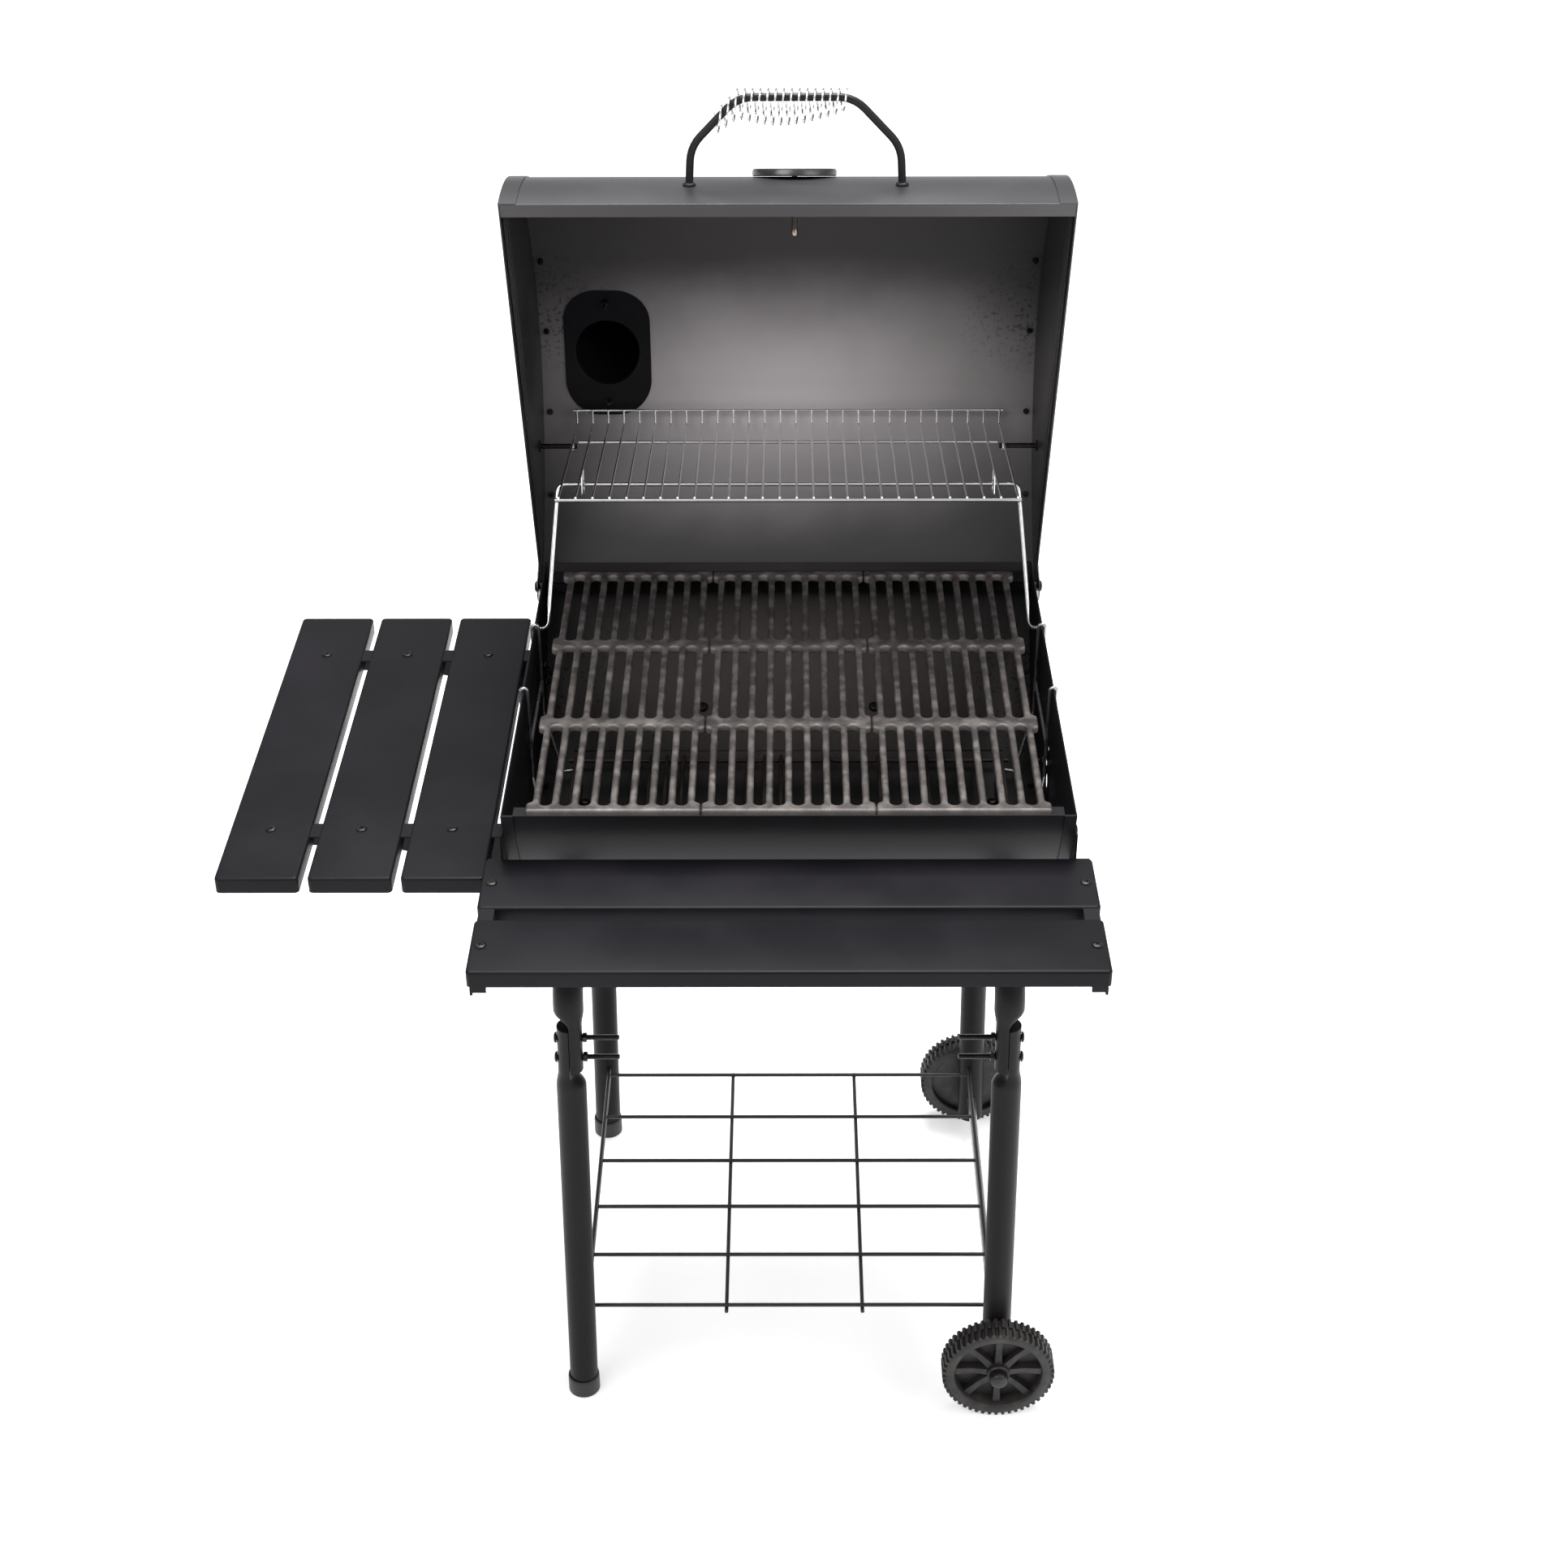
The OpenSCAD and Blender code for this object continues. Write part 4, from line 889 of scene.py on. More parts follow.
class Body(Enum):
    """The frame's bodies."""

    CART = "root"
    LID = "lid"
    NEEDLE = "gauge_needle"
    CAP = "chimney_cap"
    RACK = "warming_rack"
    FRAME = "rack_frame"
    TRAY = "charcoal_tray"
    GRATE_LEFT = "cooking_grate_left"
    GRATE_MIDDLE = "cooking_grate_middle"
    GRATE_RIGHT = "cooking_grate_right"
    WHEEL_FRONT = "wheel_front"
    WHEEL_REAR = "wheel_rear"


class Shop:
    """Holds the datum, the finishes and the trees, and hands finished pieces to the frame."""

    half_sheet: float = 0.6 * MM
    soot_x: float = 0.24

    def __init__(self, datum: Datum) -> None:
        """Builds every finish and tree.

        Args:
            datum: The grill's main lines.
        """
        self.datum = datum
        groups = {"grain": grain_group(), "dust_and_highlight": dust_and_highlight_group()}
        self.finish = {f.name: f.make(groups) for f in FINISHES}
        self.finish["gauge_glass"] = glass_material()
        self.finish["lid_skin"] = self.lid_skin().make(groups)
        self.finish["firebox_skin"] = self.firebox_skin().make(groups)
        self.wires = wire_tree()
        self.spots = spot_tree()
        self.ring = ring_tree()
        self.coil = coil_tree()

    def lid_skin(self) -> SkinTone:
        """Returns the lid's two-sided tone."""
        centre = self.datum.lid() @ self.datum.lid_centre
        radius = self.datum.lid_radius
        return SkinTone(
            "lid_skin", centre.y, centre.z, radius - self.half_sheet,
            # Inner colours: dark outside the painted pool of light, light at its middle; then the pool's
            # middle and reach.
            (0.040, 0.036, 0.039), (0.68, 0.63, 0.64),
            centre + Vector((0, radius * 0.98, radius * -0.20)), Vector((0.46, 0.20, 0.19)),
            centre + Vector((0, 0, 0.06)), self.soot_x, LID_SHEEN,
        )

    def firebox_skin(self) -> SkinTone:
        """Returns the firebox's two-sided tone."""
        centre = self.datum.base() @ self.datum.box_centre
        radius = self.datum.box_radius
        return SkinTone(
            "firebox_skin", centre.y, centre.z, radius - self.half_sheet,
            # Inner colours: dark outside the painted pool of light, light at its middle; then the pool's
            # middle and reach.
            (0.020, 0.018, 0.019), (0.165, 0.140, 0.138),
            centre + Vector((0, radius * 0.75, radius * -0.66)), Vector((0.38, 0.18, 0.15)),
            centre + Vector((0, 0, -0.2)), self.soot_x, SATIN,
        )

    def dress(self, node: str, finish: str) -> None:
        """Gives a CAD node its finish."""
        obj = frame["nodes"][node]
        obj.data.materials.clear()
        obj.data.materials.append(self.finish[finish])
        LOG.info("dressed %s in %s", node, finish)

    def place(self, obj: bpy.types.Object, body: Body, finish: str, *nodes: str) -> bpy.types.Object:
        """Finishes a piece: its material, its body and the nodes it stands for.

        Args:
            obj: The piece.
            body: The body it rides on.
            finish: The name of its finish.
            nodes: CAD nodes that it replaces.

        Returns:
            The piece.
        """
        obj.data.materials.clear()
        obj.data.materials.append(self.finish[finish])
        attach(obj, body.value)
        if nodes:
            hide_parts(*nodes)
        LOG.info("%s: %d faces on %s", obj.name, len(obj.data.polygons), body.value)
        return obj

    def wire(
        self,
        name: str,
        wires: Sequence[Wire],
        place: Matrix,
        finish: str,
        bend: float = 4 * MM,
        sides: int = 12,
        count: int = 1,
        pitch: Point = (0, 0, 0),
    ) -> bpy.types.Object:
        """Makes a piece of bent wires.

        Args:
            name: The piece's name.
            wires: The wires.
            place: Where they go.
            finish: The finish.
            bend: Radius of each bend.
            sides: Corners round the wire.
            count: How many times the set repeats.
            pitch: The step between repeats.

        Returns:
            The piece, not yet placed on a body.
        """
        return grow(
            name, self.wires, wire_mesh(wires), place,
            Count=count, Pitch=tuple(pitch), Bend_Radius=bend, Sides=sides, Material=self.finish[finish],
        )


def merged(name: str, parts: Sequence[bpy.types.Object]) -> bpy.types.Object:
    """Joins objects at the origin into one.

    Args:
        name: The new piece's name.
        parts: The objects, which are used up.

    Returns:
        The joined object.
    """
    work = bmesh.new()
    for part in parts:
        work.from_mesh(part.data)
    mesh = bpy.data.meshes.new(name)
    work.to_mesh(mesh)
    work.free()
    mesh.shade_smooth()
    mesh.set_sharp_from_angle(angle=math.radians(40))
    for part in parts:
        bpy.data.objects.remove(part)
    return link(name, mesh)


# ---- Hardware ----


class Aim(Enum):
    """Which way a fastener's head faces."""

    UP = "up"
    SIDEWAYS = "sideways"
    LID_OUT = "lid_out"
    LID_IN = "lid_in"
    BOX_OUT = "box_out"
    BOX_IN = "box_in"
    FLUE = "flue"


@dataclass(frozen=True)
class Fastener:
    """One kind of screw or bolt, and the CAD node whose places it takes."""

    node: str
    body: Body
    aim: Aim
    shank: float
    head: float
    height: float
    nut_drop: float = 0.0
    collar: tuple[float, float, float] | None = None

    def template(self, length: float) -> Shape:
        """Returns the fastener with its head's underside at zero.

        Args:
            length: How far the shank reaches below the head.
        """
        shape = self.cross_head()
        pitch = max(self.shank * 0.35, 0.8 * MM)
        turns = int((length - 0.6 * MM) / pitch)
        thread: list[Point] = [(0, 0.3 * MM), (self.shank, 0.3 * MM)]
        for k in range(turns):
            thread += [(self.shank, -k * pitch), (self.shank * 0.86, -(k + 0.5) * pitch)]
        thread += [(self.shank * 0.9, -turns * pitch), (self.shank * 0.7, -length), (0, -length)]
        shape.join(lathe(thread, 16))
        if self.nut_drop:
            shape.join(self.nut(), Matrix.Translation((0, 0, -self.nut_drop)))
        if self.collar:
            radius, low, high = self.collar
            ring = [(self.shank, low), (radius, low), (radius, high), (self.shank, high)]
            shape.join(lathe(ring, 28))
        return shape

    def cross_head(self) -> Shape:
        """Returns a pan head with a cross-shaped recess."""
        r, h = self.head, self.height
        dome = [(0, 0), (r * 0.96, 0), (r, h * 0.16), (r * 0.97, h * 0.45), (r * 0.86, h * 0.74)]
        dome += [(r * 0.66, h * 0.92), (r * 0.4, h * 0.99), (0, h)]
        head = lathe(dome, 32).object("head")
        arm, wide = r * 0.52, r * 0.13
        cross = Shape()
        plus = [(arm, -wide), (arm, wide), (wide, wide), (wide, arm), (-wide, arm), (-wide, wide)]
        plus += [(-arm, wide), (-arm, -wide), (-wide, -wide), (-wide, -arm), (wide, -arm), (wide, -wide)]
        rings = [[(x * s, y * s, z) for x, y in plus] for s, z in ((0.7, h * 0.45), (1.08, h * 1.3))]
        cross.loft(rings)
        cutter = cross.object("cutter")
        return carve(head, cutter)

    def nut(self) -> Shape:
        """Returns a chamfered hexagon nut whose top is at zero."""
        r, h = self.shank * 1.85, self.shank * 1.5
        hexagon = [(math.cos(math.radians(60 * k)), math.sin(math.radians(60 * k))) for k in range(6)]
        levels = ((0.92, 0), (1.0, -0.14 * h), (1.0, -0.86 * h), (0.92, -h))
        return Shape().loft([[(x * r * s, y * r * s, z) for x, y in hexagon] for s, z in levels])

    def direction(self, datum: Datum, place: Vector) -> Vector:
        """Returns the way the head faces.

        Args:
            datum: The grill's main lines.
            place: The fastener's middle.
        """
        from_lid = place - datum.lid() @ datum.lid_centre
        from_box = place - datum.base() @ datum.box_centre
        ways = {
            Aim.UP: Vector((0, 0, 1)),
            Aim.SIDEWAYS: Vector((math.copysign(1, place.x - datum.origin.x), 0, 0)),
            Aim.LID_OUT: Vector((0, from_lid.y, from_lid.z)),
            Aim.LID_IN: -Vector((0, from_lid.y, from_lid.z)),
            Aim.BOX_OUT: Vector((0, from_box.y, from_box.z)),
            Aim.BOX_IN: -Vector((0, from_box.y, from_box.z)),
            Aim.FLUE: datum.lid().to_3x3() @ Vector((0, 0, 1)),
        }
        return ways[self.aim].normalized()

    def fit(self, shop: Shop) -> None:
        """Sets the detailed fastener on each of the node's solids."""
        places: list[Vector] = []
        axes: list[Vector] = []
        length = 0.0
        for corners in islands(self.node):
            middle = Vector((corners.min(0) + corners.max(0)) / 2)
            for _ in range(2):
                way = self.direction(shop.datum, middle)
                turn = way.to_track_quat("Z", "Y").to_matrix()
                local = corners @ np.array(turn)
                middle = turn @ Vector((local.min(0) + local.max(0)) / 2)
            length = local[:, 2].max() - self.height - local[:, 2].min()
            places.append(middle + way * ((local[:, 2].max() - local[:, 2].min()) / 2 - self.height))
            axes.append(way)
        seeds = bpy.data.meshes.new("seeds")
        seeds.from_pydata(places, [], [])
        spots = seeds.attributes.new("axis", "FLOAT_VECTOR", "POINT")
        spots.data.foreach_set("vector", [c for axis in axes for c in axis])
        template = self.template(length).object(self.node + "_template")
        piece = grow(
            self.node + "_detailed", shop.spots, seeds, Matrix.Identity(4),
            Template=template, Seed=len(self.node), Material=shop.finish["black_screws"],
        )
        bpy.data.objects.remove(template)
        shop.place(piece, self.body, "black_screws", self.node)


FASTENERS: tuple[Fastener, ...] = (
    Fastener("firebox_end_screws", Body.CART, Aim.BOX_OUT, 2 * MM, 4 * MM, 2 * MM, 2.9 * MM),
    Fastener("rear_wall_bolts", Body.CART, Aim.BOX_IN, 3 * MM, 6 * MM, 3.5 * MM, 1.7 * MM),
    Fastener("shutter_screw", Body.CART, Aim.SIDEWAYS, 3 * MM, 6 * MM, 1.6 * MM, 3.2 * MM),
    Fastener("cradle_bolts", Body.CART, Aim.UP, 3 * MM, 6 * MM, 3.5 * MM),
    Fastener("leg_joint_bolts", Body.CART, Aim.SIDEWAYS, 3 * MM, 6 * MM, 3 * MM, 27.6 * MM),
    Fastener("slat_screws", Body.CART, Aim.UP, 2.5 * MM, 5.5 * MM, 1.8 * MM, 3.6 * MM),
    Fastener("shelf_bolts", Body.CART, Aim.SIDEWAYS, 3 * MM, 6 * MM, 2.6 * MM, 3.8 * MM),
    Fastener(
        "hinge_bolts", Body.CART, Aim.SIDEWAYS, 3 * MM, 6.5 * MM, 3.5 * MM, 10 * MM,
        (6 * MM, -8.3 * MM, -3.3 * MM),
    ),
    Fastener("lid_end_screws", Body.LID, Aim.LID_OUT, 2 * MM, 4 * MM, 2 * MM, 2.9 * MM),
    Fastener("handle_screws", Body.LID, Aim.LID_IN, 2.5 * MM, 5 * MM, 3 * MM),
    Fastener("chimney_bolts", Body.LID, Aim.LID_OUT, 2.5 * MM, 5 * MM, 3 * MM, 5.2 * MM),
    Fastener("cap_screw", Body.LID, Aim.FLUE, 2 * MM, 4.5 * MM, 2.4 * MM, 15.2 * MM),
)


def islands(node: str) -> list[np.ndarray]:
    """Returns the corners of each separate solid of a CAD node."""
    work = bmesh.new()
    work.from_mesh(frame["nodes"][node].data)
    bmesh.ops.remove_doubles(work, verts=work.verts, dist=1e-5)
    left = set(work.verts)
    found = []
    while left:
        group, edge = [], [left.pop()]
        while edge:
            corner = edge.pop()
            group.append(corner.co.copy())
            for side in corner.link_edges:
                other = side.other_vert(corner)
                if other in left:
                    left.remove(other)
                    edge.append(other)
        found.append(np.array(group))
    work.free()
    return sorted(found, key=lambda c: tuple(np.round(c.mean(0), 4)))


def carve(target: bpy.types.Object, cutter: bpy.types.Object) -> Shape:
    """Cuts one closed object out of another and uses both up.

    Args:
        target: What is cut.
        cutter: What cuts.

    Returns:
        The result as a shape.
    """
    cut = target.modifiers.new("cut", "BOOLEAN")
    cut.operation = "DIFFERENCE"
    cut.solver = "EXACT"
    cut.object = cutter
    mesh = harvest(target)
    bpy.data.objects.remove(cutter)
    return Shape([v.co.copy() for v in mesh.vertices], [list(p.vertices) for p in mesh.polygons])


# ---- Barrel ----


@dataclass
class Barrel:
    """The firebox and the lid, whose sheet metal keeps the frame's shape."""

    shop: Shop
    end_inset: float = 1.2 * MM
    rib_count: int = 3
    rib_start: float = 16 * MM
    rib_pitch: float = 13 * MM
    rib_width: float = 3.6 * MM
    rib_height: float = 1.0 * MM
    rib_end: float = 26 * MM
    rib_taper: float = 8 * MM

    def build(self) -> None:
        """Dresses the sheet metal."""
        dressed = {
            "firebox_skin": ("firebox_shell",),
            "firebox_paint": ("firebox_end_left", "firebox_end_right", "grate_ledges", "air_shutter"),
            "lid_skin": ("lid_shell",),
            "lid_paint": ("lid_end_left", "lid_end_right"),
            "chimney_paint": ("chimney_flange", "chimney_tube", "chimney_cap"),
            "black_screws": ("rack_pivot_rods",),
            "bracket_paint": ("front_bracket_left", "front_bracket_right", "side_arm_front", "side_arm_rear"),
            "axle_steel": ("axle",),
        }
        for finish, nodes in dressed.items():
            for node in nodes:
                self.shop.dress(node, finish)
        self.ribs()

    def ribs(self) -> None:
        """Makes the ribs pressed into the lid's ends, in line with the rim."""
        datum = self.shop.datum
        low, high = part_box("lid_shell")
        half = (high.x - low.x) / 2 - self.end_inset
        for side, word in ((-1, "left"), (1, "right")):
            beads = Shape()
            for k in range(self.rib_count):
                z = datum.lid_rim + self.rib_start + k * self.rib_pitch
                reach = math.sqrt(datum.lid_radius**2 - (z - datum.lid_centre.z) ** 2) - self.rib_end
                rings = []
                full = reach - self.rib_taper
                for y, share in ((-reach, 0.1), (-full, 1.0), (full, 1.0), (reach, 0.1)):
                    tall = self.rib_height * share
                    rings.append([
                        (side * (half - tall * math.sin(a)), y, z - self.rib_width * math.cos(a))
                        for a in np.linspace(0, math.pi, 8)
                    ])
                beads.loft(rings)
            self.shop.place(beads.object(f"lid_end_ribs_{word}", datum.lid()), Body.LID, "lid_paint")


# ---- Cooking surface ----


@dataclass
class CookingGrates:
    """Three cast grates with rounded bars."""

    shop: Shop
    bar: float = 7 * MM
    inset: float = 6 * MM
    end: float = 10 * MM
    cross: float = 14 * MM
    tab: float = 4 * MM
    slant: float = 3 * MM
    slots: int = 8
    rows: int = 3
    round_edge: float = 2.4 * MM

    def build(self) -> None:
        """Casts one grate in each grate's place."""
        for side in ("left", "middle", "right"):
            self.cast("cooking_grate_" + side)

    def cast(self, node: str) -> None:
        """Makes one grate inside its CAD node's box."""
        low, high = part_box(node)
        width, length, thick = high - low
        curve = bpy.data.curves.new(node + "_cast", "CURVE")
        curve.dimensions = "2D"
        curve.fill_mode = "BOTH"
        curve.bevel_depth = self.round_edge
        curve.bevel_resolution = 3
        curve.offset = -self.round_edge
        curve.extrude = thick / 2 - self.round_edge
        row = (length - 2 * self.end - (self.rows - 1) * self.cross) / self.rows
        for loop in [self.outline(width, length, row), *self.holes(width, length, row)]:
            spline = curve.splines.new("POLY")
            spline.points.add(len(loop) - 1)
            spline.points.foreach_set("co", [c for x, y in loop for c in (x, y, 0, 1)])
            spline.use_cyclic_u = True
        mesh = harvest(link(node + "_curve", curve))
        mesh.transform(Matrix.Translation((low.x, (low.y + high.y) / 2, (low.z + high.z) / 2)))
        self.shop.place(settle(mesh, node + "_cast", 50), Body(node), "cast_iron", node)

    def outline(self, width: float, length: float, row: float) -> list[Point]:
        """Returns the grate's rim, stepped in between its tabs."""
        step = self.inset
        side: list[Point] = [(0, -length / 2)]
        for r in range(self.rows):
            y = -length / 2 + self.end + r * (row + self.cross)
            near, far = y + self.tab, y + row - self.tab
            side += [(0, near), (step, near + self.slant), (step, far - self.slant), (0, far)]
        side.append((0, length / 2))
        other = [(width - x, y) for x, y in side]
        return rounded_loop(side[::-1] + other, self.slant)

    def holes(self, width: float, length: float, row: float) -> list[list[Point]]:
        """Returns the slots, each with two round ends."""
        pitch = (width - 2 * self.inset - self.bar) / self.slots
        radius = (pitch - self.bar) / 2
        loops = []
        for r in range(self.rows):
            y = -length / 2 + self.end + r * (row + self.cross)
            for i in range(self.slots):
                x = self.inset + self.bar + i * pitch + radius
                bottom = arc((x, y + radius), radius, 180, 360, 10)
                top = arc((x, y + row - radius), radius, 0, 180, 10)
                loops.append((bottom + top)[::-1])
        return loops


def rounded_loop(points: Sequence[Point], radius: float) -> list[Point]:
    """Returns a closed loop with its corners rounded as far as its sides allow."""
    n = len(points)
    out: list[Point] = []
    for i in range(n):
        a, b, c = (Vector((*points[(i + k) % n][:2], 0)) for k in (-1, 0, 1))
        room = min((a - b).length, (c - b).length) * 0.45
        reach = min(radius, room)
        p, q = b + (a - b).normalized() * reach, b + (c - b).normalized() * reach
        for k in range(5):
            t = k / 4
            spot = p * (1 - t) ** 2 + b * 2 * t * (1 - t) + q * t**2
            out.append((spot.x, spot.y))
    return out


@dataclass
class CharcoalTray:
    """The wire tray and the two notched hangers that carry it."""

    shop: Shop
    wire: float = 4 * MM
    edge_wire: float = 4.6 * MM
    level: float = 650 * MM
    half: float = 250 * MM
    front: float = -100 * MM
    back: float = 109 * MM
    groups: int = 4
    group_wires: int = 4
    group_pitch: float = 110.6 * MM
    wire_pitch: float = 18.6 * MM
    hanger_y: tuple[float, float] = (-20 * MM, 118 * MM)
    first_bar: float = -175 * MM
    overhang: float = 3 * MM
    hanger_in: float = 276.5 * MM
    hanger_out: float = 283.2 * MM
    hook: float = 42 * MM
    foot_in: float = 12 * MM
    foot_drop: float = 4.2 * MM
    notches: int = 3
    notch_low: float = 78 * MM
    notch_pitch: float = 22 * MM

    def build(self) -> None:
        """Makes the tray and both hangers."""
        place = self.shop.datum.base()
        tray = self.shop.wire("charcoal_wires", self.tray_wires(), place, "scorched_wire", 6 * MM)
        self.shop.place(tray, Body.TRAY, "scorched_wire", "charcoal_grate")
        for side, name in ((-1, "tray_hanger_left"), (1, "tray_hanger_right")):
            hanger = self.shop.wire(name + "_bent", self.hanger(side), place, "plated_wire", 3 * MM)
            self.shop.place(hanger, Body.TRAY, "plated_wire", name)

    def tray_wires(self) -> list[Wire]:
        """Returns the tray's edge wires and its four groups of bars."""
        top = self.level + self.wire
        wires = [
            Wire([(-self.half, y, self.level), (self.half, y, self.level)], self.edge_wire)
            for y in (self.front, self.back)
        ]
        bars = [
            self.first_bar + self.group_pitch * g + self.wire_pitch * k
            for g in range(self.groups)
            for k in range(self.group_wires)
        ]
        near, far = self.front - self.overhang, self.back + self.overhang
        for x in [8 * MM - self.half, *bars, self.half - 8 * MM]:
            wires.append(Wire([(x, near, top), (x, far, top)], self.wire))
        return wires

    def hanger(self, side: int) -> list[Wire]:
        """Returns one hanger's wires.

        Args:
            side: -1 for the left, 1 for the right.
        """
        low = self.level - self.foot_drop
        over = self.shop.datum.rim + self.wire / 2 + 0.1 * MM
        wires = []
        for y, near in zip(self.hanger_y, (self.front, self.back)):
            away = math.copysign(self.foot_in, -near)
            path = [
                (self.half - self.foot_in, near + away, low),
                (self.half + 6 * MM, near + away * 1.33, low),
                (self.hanger_in, y, self.level + 60 * MM),
            ]
            for k in range(self.notches):
                z = self.level + self.notch_low + self.notch_pitch * k
                path += [(self.hanger_in, y + 3 * MM, z), (self.hanger_in, y, z + 8 * MM)]
            path += [(self.hanger_in, y, over), (self.hanger_out, y, over)]
            path.append((self.hanger_out, y, over - self.hook))
            wires.append(Wire([(side * x, py, z) for x, py, z in path], self.wire))
        first, second = self.hanger_y
        for x, z, a, b in (
            (self.hanger_out, over - self.hook, first, second),
            (self.half - self.foot_in, low, self.front + self.foot_in, self.back - self.foot_in),
            (self.hanger_in, self.level + 100 * MM, first, second),
        ):
            wires.append(Wire([(side * x, a, z), (side * x, b, z)], self.wire))
        return wires


# ---- Warming rack ----


@dataclass
class WarmingRack:
    """The plated rack that the lid lifts, and the frame that steadies it."""

    shop: Shop
    half: float = 251.5 * MM
    count: int = 28
    wire: float = 2.6 * MM
    edge: float = 4.6 * MM
    front: float = 197 * MM
    back: float = 67 * MM
    lift: float = 5 * MM
    tilt: float = 7.2
    lip: float = 18 * MM
    loop_half: float = 7 * MM
    loop_drop: float = 23 * MM
    frame_wire: float = 4.6 * MM
    frame_set_in: float = 14.5 * MM
    frame_lean: float = 12.5 * MM

    def build(self) -> None:
        """Makes the rack and its frame."""
        self.rack()
        self.frame()

    def rack(self) -> None:
        """Makes the rack, drawn level about its pivot and then tipped."""
        pivot = next(j for j in frame["joints"] if j["name"] == "rack_swing")["pos_m"]
        datum = self.shop.datum
        place = Matrix.Translation((datum.origin.x, pivot[1], pivot[2]))
        place = place @ Matrix.Rotation(-math.radians(self.tilt), 4, "X")
        pitch = (2 * self.half - 8 * MM) / (self.count - 1)
        start = -self.half + 4 * MM
        bent = Wire(
            [(start, -self.front - 2 * MM, self.lift), (start, self.back, self.lift),
             (start, self.back, self.lift + self.lip)],
            self.wire,
        )
        row = self.shop.wire(
            "rack_row", [bent], place, "chrome_wire", 3.4 * MM, 10, self.count, (pitch, 0, 0)
        )
        low = self.lift - self.wire / 2 - self.edge / 2 + 0.4 * MM
        rails = [
            Wire([(-self.half, -self.front, low), (self.half, -self.front, low)], self.edge),
            Wire([(-self.half + 10 * MM, 9 * MM, low), (self.half - 10 * MM, 9 * MM, low)], self.edge * 0.9),
            Wire(
                [(-self.half, self.back + 1 * MM, self.lift + 17 * MM),
                 (self.half, self.back + 1 * MM, self.lift + 17 * MM)],
                self.wire * 1.2,
            ),
        ]
        rails += self.loops(pivot, self.half - 4 * MM - pitch)
        bars = self.shop.wire("rack_rails", rails, place, "chrome_wire", 3 * MM, 14)
        eye = lathe(mm((3.08, -1.5), (5.4, -1.5), (5.4, 1.5), (3.08, 1.5)), 28)
        eyes = Shape()
        for side in (-1, 1):
            spot = Matrix.Translation((side * (self.half - 4 * MM), 0, 0))
            eyes.join(eye, spot @ Matrix.Rotation(math.pi / 2, 4, "Y"))
        rings = eyes.object("rack_eyes", place)
        piece = merged("warming_rack_wires", [row, bars, rings])
        self.shop.place(piece, Body.RACK, "chrome_wire", "warming_rack")

    def loops(self, pivot: Point, x: float) -> list[Wire]:
        """Returns the two loops that the frame's top bar passes through."""
        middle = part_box("rack_frame")[1].y - self.frame_wire / 2 - pivot[1]
        near, far = middle - self.loop_half, middle + self.loop_half
        return [
            Wire([(s * x, y, z) for y, z in (
                (near, self.lift), (near, -self.loop_drop), (far, -self.loop_drop), (far, self.lift)
            )], self.wire)
            for s in (-1, 1)
        ]

    def frame(self) -> None:
        """Makes the swinging frame from its pivots to its top bar."""
        datum = self.shop.datum
        low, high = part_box("rack_frame")
        pivot = Vector(next(j for j in frame["joints"] if j["name"] == "frame_swing")["pos_m"]) - datum.origin
        outer = (high.x - low.x) / 2
        side = outer - self.frame_set_in
        top = side - self.frame_lean
        top_y = high.y - self.frame_wire / 2 * 1.03 - datum.origin.y
        top_z = high.z - self.frame_wire / 2 * 1.03
        path = [
            (-outer, pivot.y, pivot.z), (-side, pivot.y, pivot.z), (-top, top_y, top_z),
            (top, top_y, top_z), (side, pivot.y, pivot.z), (outer, pivot.y, pivot.z),
        ]
        bar = self.shop.wire(
            "rack_frame_bent", [Wire(path, self.frame_wire)], datum.base(), "chrome_wire", 9 * MM, 16
        )
        self.shop.place(bar, Body.FRAME, "chrome_wire", "rack_frame")


# ---- Handle and gauge ----


@dataclass
class Handle:
    """The bent handle and the coil that keeps it cool."""

    shop: Shop
    x: float = 8 * MM
    elevation: float = 22.6
    span: float = 216 * MM
    rise: float = 88 * MM
    rod: float = 8 * MM
    shoulder: float = 0.44
    bend: float = 38 * MM
    crown_half: float = 58 * MM

    def build(self) -> None:
        """Makes the rod with its feet, and the coil."""
        datum = self.shop.datum
        place = datum.on_lid(self.elevation) @ Matrix.Translation((self.x, 0, datum.lid_radius))
        foot, knee = self.span / 2, self.span / 2 - 2 * MM
        path = [
            (-foot, 0, 0.4 * MM), (-knee, 0, self.rise * self.shoulder), (-self.crown_half, 0, self.rise),
            (self.crown_half, 0, self.rise), (knee, 0, self.rise * self.shoulder), (foot, 0, 0.4 * MM),
        ]
        rod = self.shop.wire("handle_bar", [Wire(path, self.rod)], place, "handle_paint", self.bend, 20)
        collar = lathe(mm((0, 0.3), (6.6, 0.3), (7, 0.9), (6.4, 2.1), (4, 3.4), (0, 3.4)), 28)
        feet = Shape()
        for side in (-1, 1):
            feet.join(collar, Matrix.Translation((side * foot, 0, 0)))
        rod = merged("handle_rod_bent", [rod, feet.object("handle_feet", place)])
        self.shop.place(rod, Body.LID, "handle_paint", "handle_rod")
        slope = self.rise * (1 - self.shoulder) / (knee - self.crown_half)
        start = bpy.data.meshes.new("coil_seed")
        coil = grow(
            "handle_coil", self.shop.coil, start, place, 60,
            Turns=17.0, Steps_Per_Turn=28, Rod_Height=self.rise, Rod_Bend=self.crown_half, Rod_Slope=slope,
            Material=self.shop.finish["spring_chrome"],
        )
        self.shop.place(coil, Body.LID, "spring_chrome", "handle_spring")


